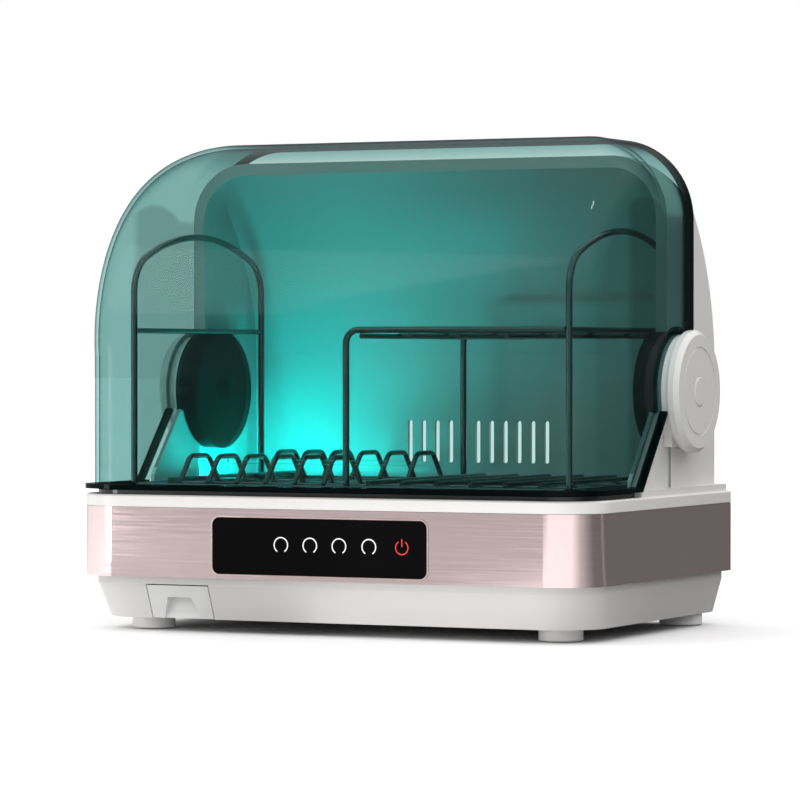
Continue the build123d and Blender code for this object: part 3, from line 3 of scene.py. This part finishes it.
import bmesh
import bpy
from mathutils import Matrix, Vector


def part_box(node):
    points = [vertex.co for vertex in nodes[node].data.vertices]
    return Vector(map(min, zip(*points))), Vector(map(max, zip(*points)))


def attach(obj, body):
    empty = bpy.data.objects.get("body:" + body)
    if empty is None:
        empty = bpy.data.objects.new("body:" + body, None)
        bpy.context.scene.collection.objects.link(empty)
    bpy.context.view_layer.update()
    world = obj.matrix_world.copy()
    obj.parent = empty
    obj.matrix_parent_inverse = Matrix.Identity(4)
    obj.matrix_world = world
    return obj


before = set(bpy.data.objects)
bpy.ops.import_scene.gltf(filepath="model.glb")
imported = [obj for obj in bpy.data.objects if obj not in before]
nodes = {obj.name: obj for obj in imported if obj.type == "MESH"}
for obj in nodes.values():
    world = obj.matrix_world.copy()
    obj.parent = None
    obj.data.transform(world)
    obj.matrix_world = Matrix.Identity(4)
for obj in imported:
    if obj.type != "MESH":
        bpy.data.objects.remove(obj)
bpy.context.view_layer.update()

# Metres. X to the right, Y to the back, Z up. The origin is on the table under the cabinet.
scene = bpy.context.scene
scene.view_settings.view_transform = "Standard"

# ---------------------------------------------------------------- camera
CAMERA_AT = (1.31917, -2.76542, 0.2086)
CAMERA_YAW = 25.58             # degrees, turned to the left of the view along Y
CAMERA_PITCH = 0.634           # degrees, down
CAMERA_LENS = 179.04           # millimetres, on a 36 mm wide sensor
CAMERA_REACH = 50.0

yaw, pitch = math.radians(CAMERA_YAW), math.radians(CAMERA_PITCH)
aim = Vector((-math.sin(yaw) * math.cos(pitch), math.cos(yaw) * math.cos(pitch), -math.sin(pitch)))
cam_data = bpy.data.cameras.new("camera")
cam_data.sensor_width = 36.0
cam_data.lens = CAMERA_LENS
cam_data.clip_end = CAMERA_REACH
cam = bpy.data.objects.new("camera", cam_data)
scene.collection.objects.link(cam)
cam.location = CAMERA_AT
cam.rotation_euler = aim.to_track_quat("-Z", "Y").to_euler()
scene.camera = cam


# ---------------------------------------------------------------- node helpers
class Tree:
    """A node tree with short ways to add nodes to it."""

    def __init__(self, tree):
        self.t = tree

    def node(self, kind, **settings):
        n = self.t.nodes.new("ShaderNode" + kind)
        for key, value in settings.items():
            setattr(n, key, value)
        return n

    def link(self, a, b):
        self.t.links.new(a, b)

    def math(self, op, a, b=0.0):
        n = self.node("Math", operation=op)
        for socket, v in zip(n.inputs, (a, b)):
            if isinstance(v, (int, float)):
                socket.default_value = v
            else:
                self.link(v, socket)
        return n.outputs["Value"]

    def ramp(self, fac, stops, ease="LINEAR"):
        """Stops are (position, colour) or (position, grey value)."""
        n = self.node("ValToRGB")
        n.color_ramp.interpolation = ease
        elements = n.color_ramp.elements
        while len(elements) < len(stops):
            elements.new(0.5)
        for element, (at, value) in zip(elements, stops):
            element.position = at
            element.color = (*value, 1) if isinstance(value, tuple) else (value, value, value, 1)
        self.link(fac, n.inputs["Fac"])
        return n.outputs["Color"]

    def mix(self, fac, a, b):
        n = self.node("Mix", data_type="RGBA")
        self.link(fac, n.inputs["Factor"])
        ends = [s for s in n.inputs if s.type == "RGBA"]
        for socket, v in zip(ends, (a, b)):
            if isinstance(v, tuple):
                socket.default_value = (*v, 1)
            else:
                self.link(v, socket)
        return [s for s in n.outputs if s.type == "RGBA"][0]

    def mix_shaders(self, fac, a, b):
        n = self.node("MixShader")
        self.link(fac, n.inputs["Fac"])
        self.link(a, n.inputs[1])
        self.link(b, n.inputs[2])
        return n.outputs["Shader"]


class Mat(Tree):
    """A material on a Principled shader."""

    def __init__(self, name, color, rough, metal=0.0, **values):
        self.m = bpy.data.materials.new(name)
        self.m.use_nodes = True
        super().__init__(self.m.node_tree)
        self.out = self.t.nodes["Material Output"]
        self.p = self.t.nodes["Principled BSDF"]
        self.p.inputs["Base Color"].default_value = (*color, 1)
        self.p.inputs["Roughness"].default_value = rough
        self.p.inputs["Metallic"].default_value = metal
        for key, value in values.items():
            socket = self.p.inputs[key.replace("_", " ")]
            socket.default_value = (*value, 1) if isinstance(value, tuple) else value
        self.coord = self.node("TexCoord")

    def noise(self, scale, detail=3.0, stretch=(1, 1, 1)):
        mapping = self.node("Mapping")
        mapping.inputs["Scale"].default_value = stretch
        self.link(self.coord.outputs["Object"], mapping.inputs["Vector"])
        n = self.node("TexNoise")
        n.inputs["Scale"].default_value = scale
        n.inputs["Detail"].default_value = detail
        self.link(mapping.outputs["Vector"], n.inputs["Vector"])
        return n.outputs["Fac"]

    def span(self, fac, low, high, a=0.0, b=1.0):
        """Maps low..high to a..b, and holds a and b beyond."""
        n = self.node("MapRange")
        for key, value in (("From Min", low), ("From Max", high), ("To Min", a), ("To Max", b)):
            n.inputs[key].default_value = value
        self.link(fac, n.inputs["Value"])
        return n.outputs["Result"]

    def both(self, a, b):
        return self.math("MULTIPLY", a, b)

    def either(self, a, b):
        return self.math("MAXIMUM", a, b)

    def axis(self, name, of="Object"):
        n = self.node("SeparateXYZ")
        self.link(self.coord.outputs[of], n.inputs["Vector"])
        return n.outputs[name]

    def facing(self):
        n = self.node("LayerWeight")
        n.inputs["Blend"].default_value = 0.5
        return n.outputs["Facing"]

    def color(self, out):
        self.link(out, self.p.inputs["Base Color"])

    def rough(self, out):
        self.link(out, self.p.inputs["Roughness"])

    def bump(self, height, strength, distance):
        n = self.node("Bump")
        n.inputs["Strength"].default_value = strength
        n.inputs["Distance"].default_value = distance
        self.link(height, n.inputs["Height"])
        self.link(n.outputs["Normal"], self.p.inputs["Normal"])

    def surface(self, shader):
        self.link(shader, self.out.inputs["Surface"])


# ---------------------------------------------------------------- kinds of finish
def shade(c, f):
    return tuple(min(1.0, v * f) for v in c)


def plastic(name, c, rough, grain=900.0, depth=0.00001, strength=0.12, vary=0.012, **values):
    """Moulded plastic: slow tone variation, fine moulded grain, slightly uneven gloss."""
    m = Mat(name, c, rough, **values)
    m.color(m.ramp(m.noise(14.0, 2.0), [(0.3, shade(c, 1 - vary)), (0.7, shade(c, 1 + vary))]))
    m.rough(m.span(m.noise(60.0, 3.0), 0.3, 0.7, rough - 0.015, rough + 0.015))
    m.bump(m.noise(grain, 2.0), strength, depth)
    return m


def metal(name, c, rough, stretch=(1, 1, 1), scale=400.0, vary=0.05, strength=0.2, depth=0.00002):
    """Metal with a grain that is drawn out along the axes where `stretch` is small."""
    m = Mat(name, c, rough, 1.0)
    grain = m.noise(scale, 4.0, stretch)
    m.color(m.ramp(grain, [(0.35, shade(c, 1 - vary)), (0.65, shade(c, 1 + vary))]))
    m.rough(m.span(grain, 0.3, 0.7, rough - 0.04, rough + 0.06))
    m.bump(grain, strength, depth)
    return m


def tinted(name, stops, gloss, body, rough, edge_shade=None):
    """See-through plastic: light passes straight through, tinted more where the wall is seen edge on.

    `stops` gives the tint and `gloss` the share of reflection, from face on (0) to edge on (1).
    The last argument may paint dark shade into the tint at some places of the piece.
    """
    m = Mat(name, body, rough)
    m.p.inputs["IOR"].default_value = 1.49
    m.p.inputs["Specular IOR Level"].default_value = 1.0
    facing = m.facing()
    tint = m.ramp(facing, stops, "EASE")
    if edge_shade:
        tint = edge_shade(m, tint)
    clear = m.node("BsdfTransparent")
    m.link(tint, clear.inputs["Color"])
    m.surface(m.mix_shaders(m.ramp(facing, gloss), clear.outputs["BSDF"], m.p.outputs["BSDF"]))
    return m


def dress(m, *names):
    for n in names:
        materials = nodes[n].data.materials
        materials.clear()
        materials.append(m.m)


# ---------------------------------------------------------------- white mouldings
WHITE = (0.80, 0.79, 0.78)
# grey painted as shade onto the housing faces that look into the chamber
CHAMBER_SHADE_GREY = (0.26, 0.31, 0.31)


def housing_white_and_shade():
    """White outside; the faces that look into the chamber are grey, painted shade for the dim chamber under
    the tinted lid.
    """
    m = plastic("housing_white", WHITE, 0.30, IOR=1.5)
    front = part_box("rear_housing")[0].y
    behind_edge = m.span(m.axis("Y"), front + 0.004, front + 0.005)
    forward = m.both(m.span(m.axis("Y", "Normal"), -0.1, -0.2), behind_edge)
    inward = m.span(m.both(m.axis("X", "Normal"), m.axis("X")), -0.02, -0.04)
    down = m.both(m.span(m.axis("Z", "Normal"), -0.1, -0.2), behind_edge)
    shaded_inside = m.either(m.either(forward, inward), down)
    outer = m.p.inputs["Base Color"].links[0].from_socket
    # the chamber faces take the grey: painted shade, not a separate lining
    m.color(m.mix(shaded_inside, outer, CHAMBER_SHADE_GREY))
    return m


dress(plastic("white_satin", WHITE, 0.30, IOR=1.5), "deck")
dress(housing_white_and_shade(), "rear_housing")
dress(plastic("white_smooth", WHITE, 0.24, grain=300.0, strength=0.1),
      "hinge_drum_left", "hinge_drum_right", "hinge_cap_left", "hinge_cap_right",
      "cap_button_left", "cap_button_right")
dress(plastic("skirt_satin", (0.70, 0.69, 0.68), 0.38, grain=700.0, strength=0.3), "base_tub", "bottom_cover")
dress(plastic("foot_satin", (0.93, 0.92, 0.915), 0.34, grain=600.0),
      "foot_front_left", "foot_front_right", "foot_rear_left", "foot_rear_right")

# ---------------------------------------------------------------- band, control panel and back
# rose-gold band, its grain drawn along its length
dress(metal("band_rose", (0.86, 0.69, 0.69), 0.10, (0.02, 0.02, 1), 700.0, 0.012, 0.03, 0.00001), "base_band")
dress(metal("bezel_pink", (0.80, 0.62, 0.60), 0.2, (0.05, 0.05, 1), 800.0, 0.03, 0.05), "panel_bezel")
dress(plastic("rear_textured", (0.16, 0.13, 0.13), 0.5, grain=500.0, strength=0.5, vary=0.05), "rear_panel")

panel = Mat("panel_black", (0.002, 0.002, 0.0022), 0.12, Specular_IOR_Level=0.05)
panel.rough(panel.span(panel.noise(30.0, 3.0), 0.3, 0.7, 0.10, 0.15))
panel.color(panel.ramp(panel.noise(9.0, 1.0),
                       [(0.3, (0.0015, 0.0015, 0.002)), (0.7, (0.003, 0.003, 0.0034))]))
dress(panel, "control_glass")

# ---------------------------------------------------------------- bottom and inside of the base
dress(plastic("rubber_dark", (0.035, 0.03, 0.03), 0.75, grain=1200.0, strength=0.6), "foot_pads")
dress(metal("zinc_screws", (0.62, 0.62, 0.63), 0.3, (1, 1, 0.2), 1500.0), "base_screws")
dress(plastic("gland_nylon", (0.02, 0.02, 0.02), 0.42, grain=1500.0, strength=0.5), "cord_gland")
dress(plastic("board_green", (0.02, 0.12, 0.05), 0.35, grain=250.0, strength=0.5, vary=0.15),
      "touch_board", "power_board", "lamp_ballast")
dress(metal("spring_gold", (0.80, 0.70, 0.45), 0.22), "touch_springs")
dress(plastic("inner_grey", (0.36, 0.36, 0.37), 0.45), "drawer_guide", "drain_spout", "air_duct")
dress(plastic("hood_dark", (0.03, 0.033, 0.033), 0.4, grain=700.0, strength=0.4), "air_hood")
dress(plastic("fan_black", (0.012, 0.012, 0.013), 0.38, grain=800.0, strength=0.4),
      "fan_housing", "fan_impeller")
dress(metal("motor_case", (0.42, 0.42, 0.44), 0.35, (1, 1, 0.1), 900.0), "fan_motor")
dress(plastic("heater_frame_ceramic", (0.50, 0.48, 0.44), 0.55, grain=900.0, strength=0.5),
      "heater_frame")
dress(metal("heater_fin_metal", (0.75, 0.75, 0.76), 0.3, (0.1, 1, 1), 900.0), "heater_core")

# ---------------------------------------------------------------- seal, reed switch and hinge pins
dress(plastic("seal_black", (0.006, 0.008, 0.008), 0.16, grain=200.0, strength=0.15, vary=0.1), "lid_seal")
dress(plastic("reed_dark", (0.03, 0.03, 0.035), 0.4), "reed_switch")
dress(metal("magnet_nickel", (0.55, 0.55, 0.56), 0.22), "lid_magnet")
dress(metal("pin_steel", (0.60, 0.60, 0.61), 0.22, (0.1, 1, 1), 900.0),
      "hinge_pin_left", "hinge_pin_right")
dress(plastic("bush_nylon", (0.72, 0.70, 0.62), 0.4), "hinge_bush_left", "hinge_bush_right")

# ---------------------------------------------------------------- tray, lamp and racks
dress(metal("tray_steel", (0.50, 0.54, 0.54), 0.22, (0.03, 1, 1), 700.0, 0.04, 0.1), "drip_tray")
dress(metal("trough_bright", (0.85, 0.86, 0.87), 0.12, (0.05, 1, 1), 500.0, 0.03, 0.08), "lamp_trough")
dress(plastic("socket_white", (0.72, 0.72, 0.70), 0.4), "lamp_socket_left", "lamp_socket_right")
dress(plastic("guard_white", (0.66, 0.68, 0.68), 0.4), "lamp_guard")
dress(metal("rack_wire", (0.085, 0.10, 0.10), 0.10, (1, 1, 0.15), 500.0, 0.05, 0.08, 0.00001),
      "rack_hoop_left", "rack_hoop_right", "rack_base", "bowl_shelf",
      "plate_dividers_front", "plate_dividers_rear")

# the lamp glows along its tube and is dark at its two end caps
LAMP_STRENGTH = 9.0
LAMP_CAP = 0.006
LAMP_FADE = 0.007
lamp_low, lamp_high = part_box("uv_lamp")
lamp_middle = (lamp_low.x + lamp_high.x) / 2
lamp_lit = (lamp_high.x - lamp_low.x) / 2 - LAMP_CAP
lamp = Mat("lamp_glow", (0.6, 0.95, 1.0), 0.1, Emission_Color=(0.0, 0.92, 0.85))
from_middle = lamp.math("ABSOLUTE", lamp.math("SUBTRACT", lamp.axis("X"), lamp_middle))
lamp.link(lamp.span(from_middle, lamp_lit, lamp_lit - LAMP_FADE, 0.0, LAMP_STRENGTH),
          lamp.p.inputs["Emission Strength"])
dress(lamp, "uv_lamp")

# ---------------------------------------------------------------- see-through pieces
DOME = [(0.0, (0.73, 0.875, 0.86)), (0.55, (0.72, 0.865, 0.85)), (0.80, (0.48, 0.69, 0.68)),
        (0.93, (0.10, 0.26, 0.26)), (1.0, (0.03, 0.09, 0.09))]
DOME_GLOSS = [(0.0, 0.06), (0.5, 0.09), (0.75, 0.16), (0.9, 0.35), (1.0, 0.8)]
# dark colour painted as shade along the dome's rear edge, lip and flanges
DOME_EDGE_SHADE = (0.012, 0.035, 0.034)
REAR_STRIPE = 0.0108           # painted shade: a nearly black stripe along the dome's rear edge
LIP_STRIPE = 0.0034            # painted shade: nearly black from the foot of the lid up to this height
FLANGE_IN = 0.0056             # how far the side flanges stand in from the lip
FLANGE_FROM_Y = -0.045         # the flanges start behind this
# teal plastic like the lid, but far darker: the extra darkness is painted shade on the hub discs inside the
# lid
HUB_TINT_SHADED = [(0.0, (0.16, 0.36, 0.35)), (0.5, (0.13, 0.31, 0.30)), (0.85, (0.04, 0.12, 0.12)),
       (1.0, (0.003, 0.012, 0.012))]
DRAWER = [(0.0, (0.93, 0.94, 0.94)), (0.7, (0.85, 0.86, 0.86)), (1.0, (0.6, 0.62, 0.62))]
DRAWER_GLOSS = [(0.0, 0.72), (0.6, 0.84), (1.0, 0.95)]


def dome_edge_shade(m, tint):
    """Painted shade: nearly black along the rear edge, at the lip and on the slanted rear flanges, standing
    in for the dark look of the thick plastic seen edge on there.
    """
    low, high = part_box("lid_shell")
    rear = m.span(m.axis("Y"), high.y - REAR_STRIPE - 0.0007, high.y - REAR_STRIPE)
    lip = m.span(m.axis("Z"), low.z + LIP_STRIPE + 0.0006, low.z + LIP_STRIPE)
    out = m.span(m.math("ABSOLUTE", m.axis("X")), high.x - FLANGE_IN - 0.0006, high.x - FLANGE_IN)
    behind = m.span(m.axis("Y"), FLANGE_FROM_Y - 0.015, FLANGE_FROM_Y)
    return m.mix(m.either(m.either(rear, lip), m.both(out, behind)), tint, DOME_EDGE_SHADE)


dome = tinted("dome_teal", DOME, DOME_GLOSS, (0.004, 0.03, 0.028), 0.02, dome_edge_shade)
dome.bump(dome.noise(6.0, 1.0), 0.05, 0.0004)
dress(dome, "lid_shell")
hub = tinted("hub_teal_shaded", HUB_TINT_SHADED, DOME_GLOSS, (0.004, 0.02, 0.02), 0.05)
hub.bump(hub.noise(25.0, 2.0), 0.1, 0.0002)
dress(hub, "lid_hub_left", "lid_hub_right")
drawer = tinted("drawer_clear", DRAWER, DRAWER_GLOSS, (0.95, 0.95, 0.945), 0.12)
drawer.bump(drawer.noise(40.0, 2.0), 0.08, 0.0001)
dress(drawer, "drip_drawer")

# ---------------------------------------------------------------- printed marks on the panel
KEY_X = (-0.0335, -0.0094, 0.0146, 0.0391)
KEY_Z = 0.0684
KEY_RADIUS, KEY_STROKE = 0.0056, 0.0009
KEY_ARC = (-58, 238)           # degrees; open at the bottom
POWER_X = 0.0659
POWER_RADIUS, POWER_STROKE = 0.0050, 0.0008
POWER_ARC = (122, 418)         # degrees; open at the top
POWER_BAR = (0.0006, 0.0064)   # from and to, above the middle of the mark
ARC_STEP = 5.0                 # degrees
INK_THICKNESS = 0.00012
INK_GAP = 0.00002

glass_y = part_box("control_glass")[0].y - INK_GAP


def arc(bm, x, z, radius, stroke, start, end):
    """Adds a flat arc in front of the panel glass; angles in degrees."""
    count = int((end - start) / ARC_STEP)
    rows = []
    for i in range(count + 1):
        a = math.radians(start + (end - start) * i / count)
        reach = [radius + side * stroke / 2 for side in (-1, 1)]
        rows.append([bm.verts.new((x + r * math.cos(a), glass_y, z + r * math.sin(a))) for r in reach])
    for (a, b), (c, d) in zip(rows, rows[1:]):
        bm.faces.new((a, b, d, c))


def bar(bm, x, low, high, stroke):
    """Adds a flat upright bar in front of the panel glass."""
    corners = ((-1, low), (1, low), (1, high), (-1, high))
    bm.faces.new([bm.verts.new((x + side * stroke / 2, glass_y, z)) for side, z in corners])


def mark(name, bm, m):
    bmesh.ops.recalc_face_normals(bm, faces=bm.faces)
    for f in bm.faces:
        if f.normal.y > 0:
            f.normal_flip()
    mesh = bpy.data.meshes.new(name)
    bm.to_mesh(mesh)
    bm.free()
    ob = bpy.data.objects.new(name, mesh)
    scene.collection.objects.link(ob)
    mesh.materials.append(m.m)
    thick = ob.modifiers.new("thickness", "SOLIDIFY")
    thick.thickness = INK_THICKNESS
    thick.offset = -1
    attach(ob, "cabinet")


# The marks are print; their slight emission is a painted glow that makes them read brighter than print would.
def ink(name, c, painted_glow, strength):
    m = Mat(name, c, 0.5, Emission_Color=painted_glow, Emission_Strength=strength)
    m.rough(m.span(m.noise(900.0), 0.3, 0.7, 0.45, 0.6))
    return m


rings = bmesh.new()
for key_x in KEY_X:
    arc(rings, key_x, KEY_Z, KEY_RADIUS, KEY_STROKE, *KEY_ARC)
mark("key_rings", rings, ink("ink_white", (0.80, 0.78, 0.77), (0.9, 0.87, 0.86), 0.25))
power = bmesh.new()
arc(power, POWER_X, KEY_Z, POWER_RADIUS, POWER_STROKE, *POWER_ARC)
bar(power, POWER_X, KEY_Z + POWER_BAR[0], KEY_Z + POWER_BAR[1], POWER_STROKE)
mark("power_mark", power, ink("ink_red", (0.60, 0.02, 0.02), (0.8, 0.03, 0.03), 0.5))

# ---------------------------------------------------------------- floor
FLOOR_HALF = 30.0
# How bright the floor is to all but the camera, once round the cabinet: from the left (0) past
# the front (0.25), the right (0.5) and the back (0.75). It is bright in front and dim on the
# right, as a table with grey cards laid on it. The camera sees it white.
AROUND = [(0.0, 0.90), (0.10, 0.90), (0.15, 0.40), (0.215, 0.39), (0.235, 0.92), (0.375, 0.92),
          (0.42, 0.46), (0.458, 0.28), (0.50, 0.14), (0.565, 0.13), (0.577, 0.30), (0.59, 0.12),
          (0.80, 0.12), (0.95, 0.85)]


def floor_finish():
    m = Mat("floor_white", (0.92, 0.92, 0.92), 0.7)
    m.color(m.ramp(m.noise(2.0), [(0.3, 0.93), (0.7, 0.95)]))
    angle = m.math("ARCTAN2", m.axis("Y"), m.axis("X"))
    turn = m.math("ADD", m.math("DIVIDE", angle, 2 * math.pi), 0.5)
    dim = m.node("BsdfDiffuse")
    m.link(m.ramp(turn, AROUND), dim.inputs["Color"])
    camera_ray = m.node("LightPath").outputs["Is Camera Ray"]
    m.surface(m.mix_shaders(camera_ray, dim.outputs["BSDF"], m.p.outputs["BSDF"]))
    return m


floor_mesh = bpy.data.meshes.new("floor")
corners = [(x * FLOOR_HALF, y * FLOOR_HALF, 0) for x, y in ((-1, -1), (1, -1), (1, 1), (-1, 1))]
floor_mesh.from_pydata(corners, [], [(0, 1, 2, 3)])
floor_mesh.materials.append(floor_finish().m)
floor = bpy.data.objects.new("floor", floor_mesh)
scene.collection.objects.link(floor)

# ---------------------------------------------------------------- room
# The room is brightest towards BRIGHT_SIDE and dim behind, under a bright ceiling. The camera
# sees a white backdrop.
BRIGHT_SIDE = -72.0            # degrees from X towards Y
WALLS = [(0.0, 0.20), (0.60, 0.21), (0.74, 0.45), (0.80, 0.70), (0.90, 0.74), (0.95, 1.0), (1.0, 1.0)]
CEILING = 1.4
CEILING_STARTS = [(0.25, 0.0), (0.55, 1.0)]
BACKDROP = (1.0, 1.0, 1.0)

world = bpy.data.worlds.new("studio")
scene.world = world
world.use_nodes = True
room = Tree(world.node_tree)
way = room.node("SeparateXYZ")
room.link(room.node("TexCoord").outputs["Generated"], way.inputs["Vector"])
way_x, way_y, way_z = way.outputs
bright = math.radians(BRIGHT_SIDE)
ahead = room.math("ADD", room.math("MULTIPLY", way_x, math.cos(bright)),
                  room.math("MULTIPLY", way_y, math.sin(bright)))
# the tiny bit over 1 keeps the root above zero straight up and down
level = room.math("SQRT", room.math("SUBTRACT", 1.0001, room.math("MULTIPLY", way_z, way_z)))
towards_bright = room.math("ADD", room.math("MULTIPLY", room.math("DIVIDE", ahead, level), 0.5), 0.5)
walls = room.ramp(towards_bright, WALLS)
indoors = room.mix(room.ramp(way_z, CEILING_STARTS), walls, (CEILING, CEILING, CEILING))
backdrop = room.node("LightPath").outputs["Is Camera Ray"]
background = world.node_tree.nodes["Background"]
room.link(room.mix(backdrop, indoors, BACKDROP), background.inputs["Color"])
background.inputs["Strength"].default_value = 1.0

# ---------------------------------------------------------------- lights
CYAN = (0.0, 1.0, 0.93)
STRAIGHT_UP = (math.pi, 0, 0)


def towards(at, look):
    return (Vector(look) - Vector(at)).to_track_quat("-Z", "Y").to_euler()


def softbox(name, at, rotation, size, power, color=(1, 1, 1)):
    data = bpy.data.lights.new(name, "AREA")
    data.shape = "RECTANGLE"
    data.size, data.size_y = size
    data.energy = power
    data.color = color
    ob = bpy.data.objects.new(name, data)
    scene.collection.objects.link(ob)
    ob.location = at
    ob.rotation_euler = rotation
    return ob


KEY_AT = (-1.3, -1.6, 1.5)
STRIP_AT = (-1.06, -1.23, 0.16)
SPARK_AT = (0.89, -0.13, 2.2)
POOL_AT = (-0.165, 0.045, 0.114)
UPLIGHT_AT = (-0.115, 0.015, 0.104)
softbox("key", KEY_AT, towards(KEY_AT, (0, 0, 0.2)), (0.9, 1.2), 8.0)
# a low one at the left front and a small one high up on the right, for reflections in the dome
softbox("strip", STRIP_AT, towards(STRIP_AT, (-0.2, -0.13, 0.16)), (0.34, 0.30), 2.2)
softbox("spark", SPARK_AT, towards(SPARK_AT, (0.19, -0.05, 0.33)), (0.12, 0.12), 3.0)
# the lamp's own light: on the lower left of the back wall, and up from over the lamp
pool = softbox("lamp_pool", POOL_AT, towards(POOL_AT, (-0.185, 0.135, 0.128)), (0.12, 0.02), 0.75, CYAN)
uplight = softbox("lamp_light", UPLIGHT_AT, STRAIGHT_UP, (0.13, 0.03), 0.40, CYAN)
pool.visible_glossy = False
uplight.visible_glossy = False
